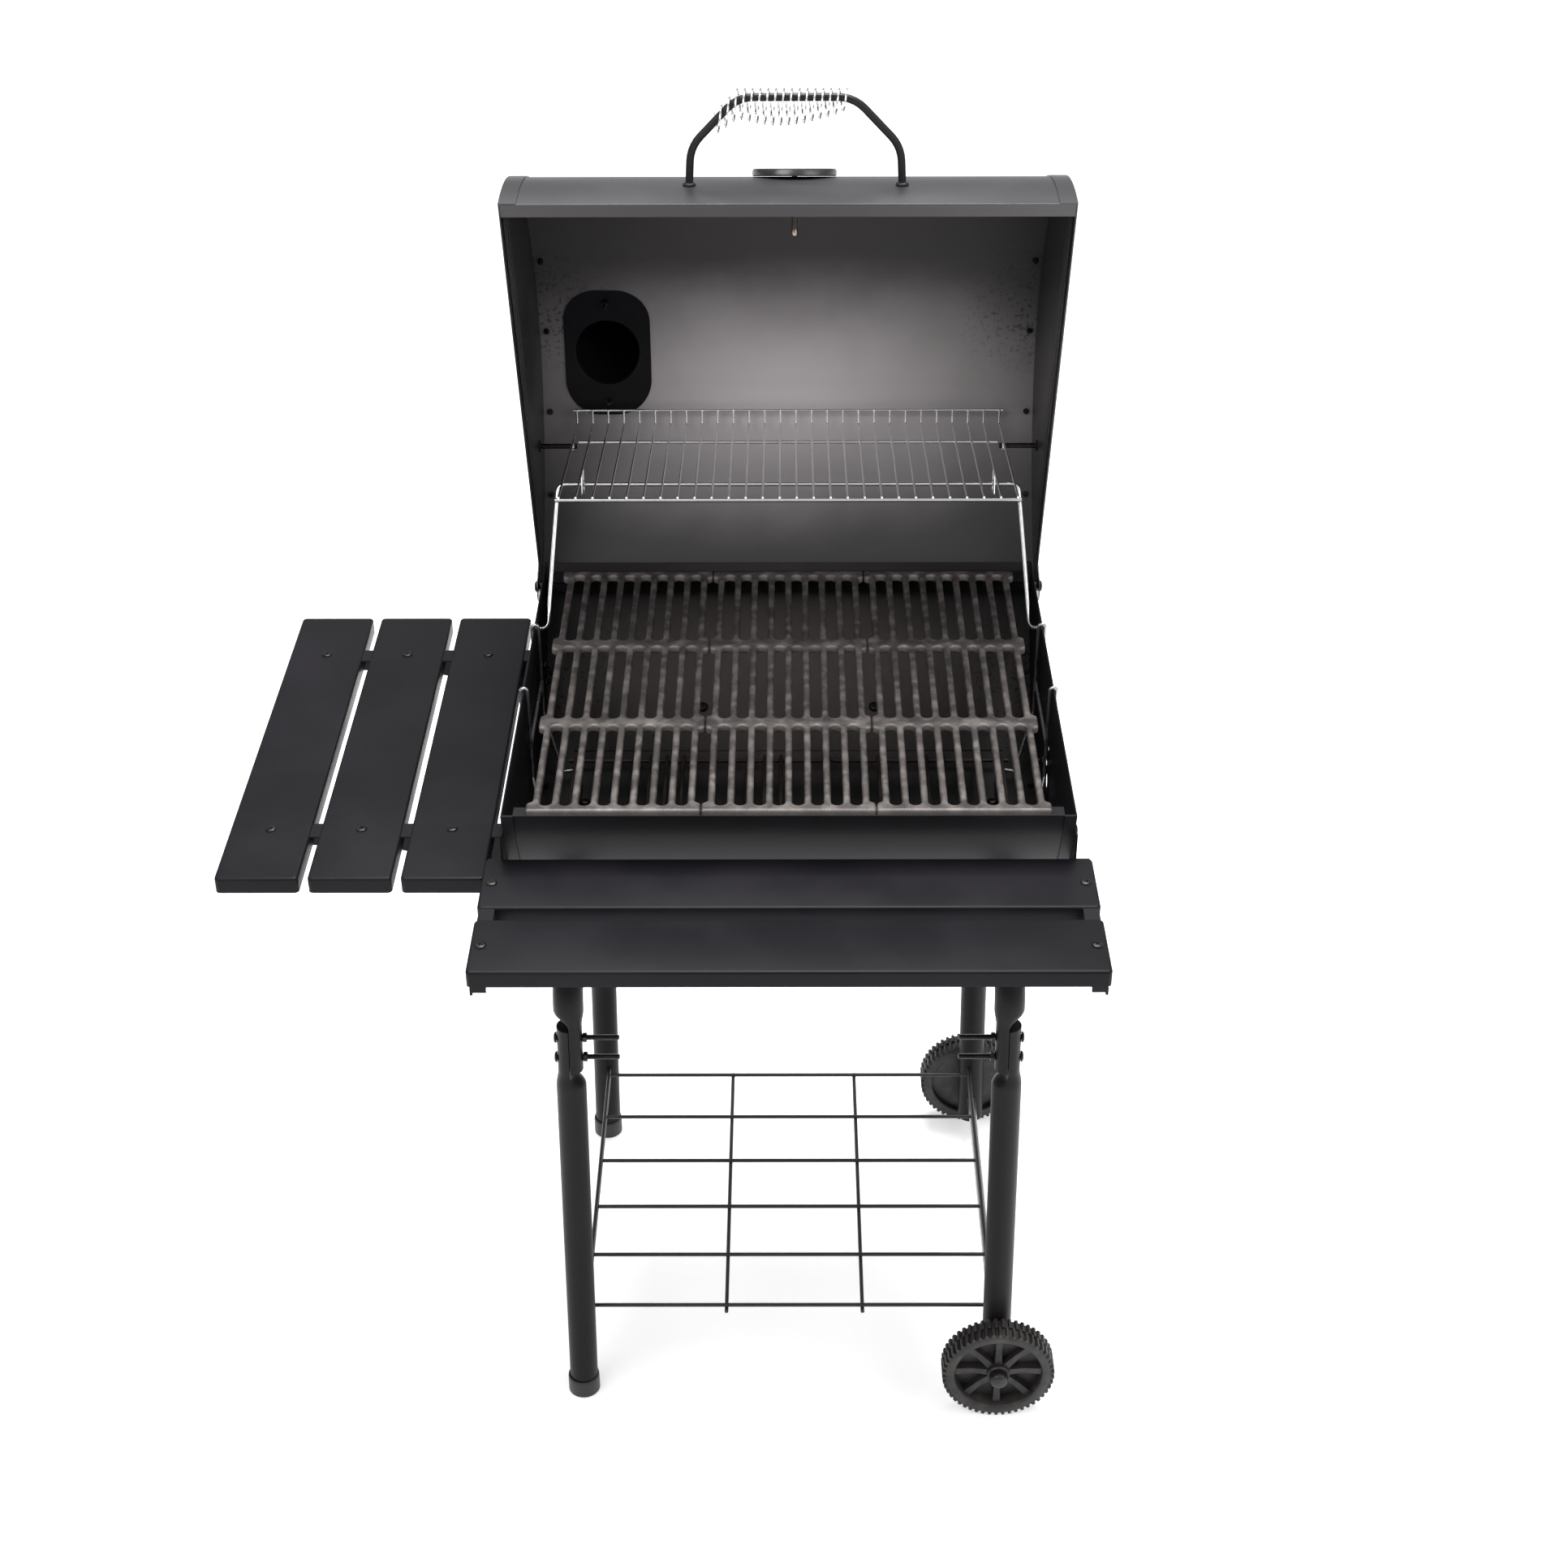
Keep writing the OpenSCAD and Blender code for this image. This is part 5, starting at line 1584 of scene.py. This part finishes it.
@dataclass
class Gauge:
    """The heat gauge on the lid's front."""

    shop: Shop
    x: float = 7 * MM
    elevation: float = 36.7
    radius: float = 44 * MM
    height: float = 8 * MM
    marks: int = 28
    sweep: float = 270
    wing: float = 30 * MM

    def build(self) -> None:
        """Makes the bezel, dial, glass, marks, stem and needle."""
        datum = self.shop.datum
        place = datum.on_lid(self.elevation) @ Matrix.Translation((self.x, 0, datum.lid_radius))
        r, h = self.radius, self.height
        bezel = [
            (4 * MM, 0.3 * MM), (r - 1 * MM, 0.3 * MM), (r, 1.4 * MM), (r, h - 2.4 * MM),
            (r - 0.8 * MM, h - 0.6 * MM), (r - 2.2 * MM, h), (r - 3.4 * MM, h - 0.5 * MM),
            (r - 4 * MM, h - 1.8 * MM), (r - 4 * MM, 2.5 * MM), (4 * MM, 2.5 * MM),
        ]
        edge = r - 4.3 * MM
        dial = [(3.1 * MM, 2.7 * MM), (edge, 2.7 * MM), (edge, 3.5 * MM), (3.1 * MM, 3.5 * MM)]
        edge = r - 4.2 * MM
        lens = [(0, 6.2 * MM), (edge, 6.2 * MM), (edge, 6.9 * MM), (r * 0.5, 7.3 * MM), (0, 7.4 * MM)]
        for name, profile, node in (
            ("gauge_rim", bezel, "gauge_bezel"),
            ("gauge_face", dial, "gauge_dial"),
            ("gauge_lens", lens, "gauge_glass"),
        ):
            self.shop.place(lathe(profile, 72).object(name, place), Body.LID, node, node)
        self.scale(place)
        self.stem(place)
        needle = Shape()
        needle.join(lathe(mm((1.6, 4.3), (4, 4.3), (3.6, 5.2), (1.6, 5.2)), 28))
        pointer = mm((-9, -1.2), (0, -1.6), (31, -0.35), (31, 0.35), (0, 1.6), (-9, 1.2))
        tongue = extrude(pointer, 0.8 * MM)
        turn = Matrix.Rotation(math.radians(-self.sweep / 2), 4, "Z") @ Matrix.Translation((0, 0, 4.35 * MM))
        needle.join(tongue, turn)
        piece = needle.object("gauge_pointer", place)
        self.shop.place(piece, Body.NEEDLE, "gauge_needle", "gauge_needle")

    def stem(self, place: Matrix) -> None:
        """Makes the probe and the nut with two curled wings that holds it inside the lid."""
        probe = mm(
            (0, 5.7), (1.5, 5.7), (1.5, 3.9), (3, 3.9), (3, -52), (3.4, -53), (3.4, -57), (2.2, -60), (0, -60)
        )
        nut = lathe(probe, 24)
        nut.join(lathe(mm((3.1, -3), (6, -3), (5.4, -7), (3.1, -7)), 28))
        curl = arc((0, 0), 3.6 * MM, -110, 110, 10) + arc((0, 0), 2.7 * MM, 110, -110, 10)
        arm = extrude(mm((4, -2), (10, -2), (10, 2), (4, 2)), 1.2 * MM)
        for turn in (0, math.pi):
            spin = Matrix.Rotation(turn, 4, "Z")
            nut.join(arm, spin @ Matrix.Translation((0, 0, -5 * MM)))
            lean = Matrix.Translation((9.6 * MM, 0, -3.6 * MM)) @ Matrix.Rotation(math.radians(-7), 4, "Y")
            nut.join(extrude(curl, self.wing), spin @ lean @ Matrix.Translation((0, 0, -self.wing)))
        self.shop.place(nut.object("gauge_probe", place), Body.LID, "gauge_brass", "gauge_stem")

    def scale(self, place: Matrix) -> None:
        """Prints the marks on the dial."""
        low, high = self.radius - 12 * MM, self.radius - 7 * MM
        half = 0.35 * MM
        mark = extrude([(low, -half), (high, -half), (high, half), (low, half)], 0.25 * MM)
        template = mark.object("mark_template", Matrix.Translation((0, 0, 3.45 * MM)))
        step = math.radians(self.sweep / (self.marks - 1))
        first = math.radians(-90 - self.sweep / 2)
        marks = repeat_round("gauge_marks", self.shop, template, place, "gauge_ink", self.marks, step, first)
        self.shop.place(marks, Body.LID, "gauge_ink")


# ---- Shelves ----


@dataclass
class Shelves:
    """Five folded slats."""

    shop: Shop
    thickness: float = 1.2 * MM
    edge: float = 2.6 * MM
    corner: float = 5 * MM
    nodes: tuple[str, ...] = (
        "front_slat_inner",
        "front_slat_outer",
        "side_slat_inner",
        "side_slat_middle",
        "side_slat_outer",
    )

    def build(self) -> None:
        """Presses each slat inside its CAD node's box."""
        for node in self.nodes:
            low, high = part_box(node)
            self.shop.place(self.press(node + "_pressed", low, high), Body.CART, "shelf_paint", node)

    def press(self, name: str, low: Vector, high: Vector) -> bpy.types.Object:
        """Makes an upturned pan with rounded edges.

        Args:
            name: The piece's name.
            low: The lowest corner of its box.
            high: The highest corner of its box.

        Returns:
            The pan.
        """
        work = bmesh.new()
        size, middle = high - low, (high + low) / 2
        bmesh.ops.create_cube(work, size=1, matrix=Matrix.Translation(middle) @ Matrix.Diagonal((*size, 1)))
        floor = [f for f in work.faces if f.normal.z < -0.5]
        bmesh.ops.delete(work, geom=floor, context="FACES_ONLY")
        upright = [e for e in work.edges if abs(e.verts[0].co.z - e.verts[1].co.z) > size.z / 2]
        bmesh.ops.bevel(work, geom=upright, offset=self.corner, segments=5, affect="EDGES", profile=0.5)
        top = max(v.co.z for v in work.verts)
        rim = [e for e in work.edges if all(v.co.z > top - 1e-6 for v in e.verts) and len(e.link_faces) == 2]
        bmesh.ops.bevel(work, geom=rim, offset=self.edge, segments=5, affect="EDGES", profile=0.5)
        mesh = bpy.data.meshes.new(name)
        work.to_mesh(mesh)
        work.free()
        obj = link(name, mesh)
        wall = obj.modifiers.new("wall", "SOLIDIFY")
        wall.thickness = self.thickness
        wall.offset = -1
        return settle(harvest(obj), name, 40)


# ---- Cart ----


@dataclass
class Cart:
    """Legs, cradles, the bottom rack, wheels and caps."""

    shop: Shop
    foot_x: float = 238.5 * MM
    leg_y: float = 227.7 * MM
    radius: float = 16 * MM
    joint_radius: float = 13.5 * MM
    joint_low: float = 476 * MM
    joint_high: float = 536 * MM
    shoulder: float = 20 * MM
    tilt: float = 0.86
    bend: float = 40 * MM
    run: float = 600 * MM
    around: int = 36
    press_steps: int = 6
    bend_steps: int = 10
    rack_z: float = 110 * MM
    rack_x: float = 232 * MM
    rack_rows: int = 6
    rack_pitch: float = 82.6 * MM
    rack_bars: tuple[float, float] = (-72 * MM, 84 * MM)
    bar_reach: float = 213.108 * MM
    rack_layer: float = 4.2 * MM
    rail_layer: float = 4.3 * MM
    rack_wire: float = 4.5 * MM
    saddles: tuple[float, float] = (-50 * MM, 60 * MM)
    saddle_half: tuple[float, float] = (9 * MM, 13 * MM)

    def build(self) -> None:
        """Makes the whole cart."""
        for side, word in ((-1, "left"), (1, "right")):
            for front, end in ((-1, "front"), (1, "rear")):
                self.leg(side, front, f"leg_{end}_{word}")
            self.cradle(side, f"cradle_{word}")
        self.bottom_rack()
        self.caps()
        for name, body, way in (("wheel_front", Body.WHEEL_FRONT, -1), ("wheel_rear", Body.WHEEL_REAR, 1)):
            Wheel(self.shop, name, body, way).build()

    def on_side(self, side: int) -> Matrix:
        """Returns the leaning frame of one side of the cart."""
        lean = Matrix.Rotation(-side * math.radians(self.tilt), 4, "Y")
        return self.shop.datum.base() @ Matrix.Translation((side * self.foot_x, 0, 0)) @ lean

    def section(self, face: int, squash: float) -> list[tuple[float, float]]:
        """Returns the tube's section, round or pressed to a half.

        Args:
            face: The side, -1 or 1, that keeps its curve.
            squash: 0 for round, 1 for fully pressed.
        """
        smooth = squash * squash * (3 - 2 * squash)
        radius = self.radius + (self.joint_radius - self.radius) * smooth
        points = []
        for k in range(self.around):
            angle = 2 * math.pi * k / self.around
            x, y = radius * math.cos(angle), radius * math.sin(angle)
            if x * face < 0.4 * MM:
                x += (0.4 * MM * face - x) * smooth
            points.append((x, y))
        return points

    def leg(self, side: int, front: int, node: str) -> None:
        """Makes one leg, pressed at its top where the cradle laps it."""
        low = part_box(node)[0].z
        stations = [(low, 0.0), (self.joint_low - self.shoulder, 0.0)]
        shares = [k / self.press_steps for k in range(1, self.press_steps + 1)]
        stations += [(self.joint_low - self.shoulder * (1 - share), share) for share in shares]
        stations += [(self.joint_high - 2 * MM, 1.0)]
        rings = [[(x, front * self.leg_y + y, z) for x, y in self.section(side, s)] for z, s in stations]
        tip = rings[-1]
        centre = sum((Vector(p) for p in tip), Vector()) / len(tip)
        rings.append([tuple(centre + (Vector(p) - centre) * 0.8 + Vector((0, 0, 1.2 * MM))) for p in tip])
        piece = Shape().loft(rings).object(node + "_tube", self.on_side(side), 50)
        self.shop.place(piece, Body.CART, "tube_paint", node)

    def cradle(self, side: int, node: str) -> None:
        """Makes one bent cradle tube with its two saddles."""
        bend, run, reach, steps = self.bend, self.run, self.leg_y, self.press_steps
        path = [(-reach, self.joint_low + 1.2 * MM, 0.0, 1.0), (-reach, self.joint_high, 0.0, 1.0)]
        for k in range(1, steps + 1):
            path.append((-reach, self.joint_high + self.shoulder * k / steps, 0.0, 1 - k / steps))
        for a in np.linspace(0, math.pi / 2, self.bend_steps + 1):
            path.append((-reach + bend - bend * math.cos(a), run - bend + bend * math.sin(a), a, 0.0))
        path += [(-y, z, math.pi - a, s) for y, z, a, s in path[::-1]]
        rings = []
        for y, z, a, squash in path:
            across = Vector((0, math.cos(a), -math.sin(a)))
            middle = Vector((0, y, z))
            section = self.section(-side, squash)
            rings.append([tuple(middle + Vector((px, 0, 0)) + across * py) for px, py in section])
        shape = Shape().loft(rings)
        for y in self.saddles:
            shape.join(self.saddle(y))
        piece = shape.object(node + "_tube", self.on_side(side), 50)
        self.shop.place(piece, Body.CART, "tube_paint", node)

    def saddle(self, y: float) -> Shape:
        """Returns the block that fills the gap under the barrel at one place."""
        datum = self.shop.datum
        half_x, half_y = self.saddle_half
        radius = datum.box_radius + 0.2 * MM
        top = [
            (py, datum.box_centre.z - math.sqrt(radius**2 - (py - datum.barrel_y) ** 2))
            for py in np.linspace(y - half_y, y + half_y, 8)
        ]
        low = self.run + self.radius - 3 * MM
        outline = [(y - half_y, low), *top, (y + half_y, low)]
        return Shape().loft([[(x, py, z) for py, z in outline] for x in (-half_x, half_x)])

    def bottom_rack(self) -> None:
        """Makes the storage rack at the legs' feet."""
        reach = self.leg_y - self.radius + 7 * MM
        wires = []
        for i in range(self.rack_rows):
            y = (i - (self.rack_rows - 1) / 2) * self.rack_pitch
            wires.append(Wire([(x, y, self.rack_z) for x in (-self.rack_x, self.rack_x)], self.rack_wire))
        for x in self.rack_bars:
            z = self.rack_z - self.rack_layer
            wires.append(Wire([(x, -self.bar_reach, z), (x, self.bar_reach, z)], self.rack_wire))
        for x in (-self.rack_x, self.rack_x):
            for z in (self.rack_z - self.rail_layer, self.rack_z + self.rail_layer):
                wires.append(Wire([(x, -reach, z), (x, reach, z)], self.rack_wire))
        rack = self.shop.wire("bottom_rack_wires", wires, self.shop.datum.base(), "black_wire", 2 * MM, 14)
        self.shop.place(rack, Body.CART, "black_wire", "bottom_rack")

    def caps(self) -> None:
        """Makes the two foot caps and the two hub caps."""
        r = self.radius
        cup = [
            (0, 0), (r + 1 * MM, 0), (r + 2 * MM, 1.2 * MM), (r + 2 * MM, 20 * MM), (r + 1.6 * MM, 23 * MM),
            (r + 0.9 * MM, 24 * MM), (r + 0.5 * MM, 23.4 * MM), (r + 0.5 * MM, 2.6 * MM), (0, 2.6 * MM),
        ]
        feet = Shape()
        for front in (-1, 1):
            feet.join(lathe(cup, 40), Matrix.Translation((-self.foot_x, front * self.leg_y, 0)))
        piece = feet.object("foot_cups", self.shop.datum.base())
        self.shop.place(piece, Body.CART, "cap_plastic", "foot_caps")
        dome = mm(
            (5.1, 0), (10.2, 0), (10.5, 0.6), (10.5, 6.4), (9.7, 8.6),
            (8.0, 10.3), (5.2, 11.5), (0, 12), (0, 8), (5.1, 8),
        )
        hubs = Shape()
        for corners in islands("hub_caps"):
            low, high = Vector(corners.min(0)), Vector(corners.max(0))
            middle = (low + high) / 2
            way = math.copysign(1, middle.y - self.shop.datum.origin.y)
            base = low.y if way > 0 else high.y
            turn = Matrix.Rotation(-way * math.pi / 2, 4, "X")
            hubs.join(lathe(dome, 40), Matrix.Translation((middle.x, base, middle.z)) @ turn)
        self.shop.place(hubs.object("hub_domes"), Body.CART, "cap_plastic", "hub_caps")


@dataclass
class Wheel:
    """A moulded wheel with two rows of lugs."""

    shop: Shop
    node: str
    body: Body
    way: int
    lugs: int = 50
    lug_height: float = 3.4 * MM
    spokes: int = 8

    def build(self) -> None:
        """Moulds the wheel inside its CAD node's box, outer face along its own Z."""
        low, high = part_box(self.node)
        middle = (low + high) / 2
        outer, wide = (high.z - low.z) / 2, high.y - low.y
        face = low.y if self.way > 0 else high.y
        turn = Matrix.Rotation(-self.way * math.pi / 2, 4, "X")
        place = Matrix.Translation((middle.x, face, middle.z)) @ turn
        root = outer - self.lug_height
        tyre = [
            (49 * MM, 1 * MM), (50 * MM, 0), (root - 2 * MM, 0), (root, 1.6 * MM), (root, wide - 1.6 * MM),
            (root - 2 * MM, wide), (52 * MM, wide), (50.5 * MM, wide - 0.8 * MM), (49 * MM, wide - 3 * MM),
        ]
        shape = lathe(tyre, 96)
        shape.join(lathe(mm((12, 8), (49.6, 8), (49.6, 11), (12, 11)), 64))
        hub = [
            (5.1 * MM, 0), (12.4 * MM, 0), (13 * MM, 0.6 * MM), (13 * MM, wide - 1.4 * MM), (11.8 * MM, wide),
            (5.1 * MM, wide),
        ]
        shape.join(lathe(hub, 48))
        parts = [shape.object(self.node + "_body", place)]
        parts += [self.lug_row(place, outer, root, wide, row) for row in (0, 1)]
        parts.append(self.spoke_ring(place))
        piece = merged(self.node + "_moulded", parts)
        self.shop.place(piece, self.body, "wheel_plastic", self.node)

    def lug_row(self, place: Matrix, outer: float, root: float, wide: float, row: int) -> bpy.types.Object:
        """Makes one row of tread lugs."""
        step = 2 * math.pi / self.lugs
        half = root * step * 0.27
        tip = half * 0.78
        low, high = (0.4 * MM, wide / 2 + 0.2 * MM) if row == 0 else (wide / 2 - 0.2 * MM, wide - 0.4 * MM)
        rings = [
            [(r, -w, low + cut), (r, w, low + cut), (r, w, high - cut), (r, -w, high - cut)]
            for r, w, cut in (
                (root - 1 * MM, half, 0),
                (outer - 0.8 * MM, tip, 0.3 * MM),
                (outer - 0.1 * MM, tip * 0.7, 1.1 * MM),
            )
        ]
        template = Shape().loft(rings).object("lug_template")
        name, first = f"{self.node}_lugs_{row}", step / 2 * row
        return repeat_round(name, self.shop, template, place, "wheel_plastic", self.lugs, step, first)

    def spoke_ring(self, place: Matrix) -> bpy.types.Object:
        """Makes the spokes."""
        low = 9 * MM
        rings = [
            [(r, -w, low), (r, w, low), (r, w * 0.8, z), (r, -w * 0.8, z)]
            for r, w, z in mm((12, 5.2, 22), (30, 4.2, 19), (49.6, 5.6, 21))
        ]
        template = Shape().loft(rings).object("spoke_template")
        step = 2 * math.pi / self.spokes
        return repeat_round(
            self.node + "_spokes", self.shop, template, place, "wheel_plastic", self.spokes, step
        )


# ---- Studio ----


@dataclass(frozen=True)
class SoftBox:
    """A square light: where it stands, its side and its power in watts."""

    name: str
    place: Point
    size: float
    power: float


SOFT_BOXES = (
    SoftBox("key", (-1.8, -2.2, 3.4), 2.2, 48.0),
    SoftBox("fill", (2.4, -1.6, 2.2), 2.4, 26.0),
    SoftBox("top", (0.1, 0.9, 4.0), 1.9, 215.0),
)


@dataclass
class Studio:
    """The camera, the pale floor and soft lights."""

    datum: Datum
    lens: float = 56.105
    eye: tuple[float, float, float] = (-0.3 * MM, -2247.9 * MM, 2128.1 * MM)
    pitch: float = 32.64
    yaw: float = 0.0021
    roll: float = -0.0024
    sensor: float = 36.0
    lit: tuple[float, float, float] = (0, 0.05, 0.85)
    floor_half: float = 90.0
    floor_glow: float = 0.45
    sky_light: tuple[float, float] = (0.24, 0.75)

    def build(self) -> None:
        """Sets the camera, the lights and the floor."""
        self.camera()
        self.floor()
        self.lights()

    def camera(self) -> None:
        """Adds the camera and makes it the scene's."""
        data = bpy.data.cameras.new("camera")
        data.lens = self.lens
        data.sensor_width = self.sensor
        data.clip_end = 3 * self.floor_half
        camera = link("camera", data)
        turn = Matrix.Rotation(self.yaw, 4, "Z") @ Matrix.Rotation(math.radians(90 - self.pitch), 4, "X")
        turn = turn @ Matrix.Rotation(self.roll, 4, "Z")
        camera.matrix_world = self.datum.base() @ Matrix.Translation(self.eye) @ turn
        bpy.context.scene.camera = camera

    def floor(self) -> None:
        """Adds the plain pale floor."""
        mesh = bpy.data.meshes.new("floor")
        far = self.floor_half
        mesh.from_pydata([(-far, -far, 0), (far, -far, 0), (far, far, 0), (-far, far, 0)], [], [(0, 1, 2, 3)])
        floor = link("floor", mesh)
        material = bpy.data.materials.new("pale_floor")
        material.use_nodes = True
        shader = material.node_tree.nodes["Principled BSDF"]
        shader.inputs["Base Color"].default_value = (0.92, 0.92, 0.92, 1)
        shader.inputs["Roughness"].default_value = 0.9
        shader.inputs["Emission Color"].default_value = (1, 1, 1, 1)
        shader.inputs["Emission Strength"].default_value = self.floor_glow
        mesh.materials.append(material)

    def lights(self) -> None:
        """Adds a sky that is bright overhead and dimmer towards the ground, and three soft boxes."""
        bpy.context.scene.world = self.sky()
        bpy.context.scene.view_settings.view_transform = "Standard"
        target = self.datum.base() @ Vector(self.lit)
        for box in SOFT_BOXES:
            data = bpy.data.lights.new(box.name, "AREA")
            data.size = box.size
            data.energy = box.power
            lamp = link(box.name, data)
            spot = self.datum.base() @ Vector(box.place)
            aim = (target - spot).to_track_quat("-Z", "Y")
            lamp.matrix_world = Matrix.Translation(spot) @ aim.to_matrix().to_4x4()

    def sky(self) -> bpy.types.World:
        """Returns the sky: pale where it is seen, softer as a light."""
        world = bpy.data.worlds.new("sky")
        world.use_nodes = True
        tree = world.node_tree
        back = tree.nodes["Background"]
        back.inputs["Color"].default_value = (1, 1, 1, 1)
        way = place_node(tree, "ShaderNodeTexCoord").outputs["Generated"]
        height = place_node(tree, "ShaderNodeSeparateXYZ", {0: way}).outputs["Z"]
        light = spread(tree, height, 0.0, 1.0, *self.sky_light)
        seen = place_node(tree, "ShaderNodeLightPath").outputs["Is Camera Ray"]
        strength = place_node(tree, "ShaderNodeMix", {0: seen, 2: light, 3: 1.0}).outputs[0]
        tree.links.new(strength, back.inputs["Strength"])
        return world


def main() -> None:
    """Builds every piece in order."""
    logging.basicConfig(level=logging.INFO, format="%(message)s")
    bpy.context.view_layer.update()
    datum = Datum.read()
    Studio(datum).build()
    shop = Shop(datum)
    for part in (Barrel, CookingGrates, CharcoalTray, WarmingRack, Handle, Gauge, Shelves, Cart):
        part(shop).build()
    for fastener in FASTENERS:
        fastener.fit(shop)


if __name__ == "__main__":
    main()
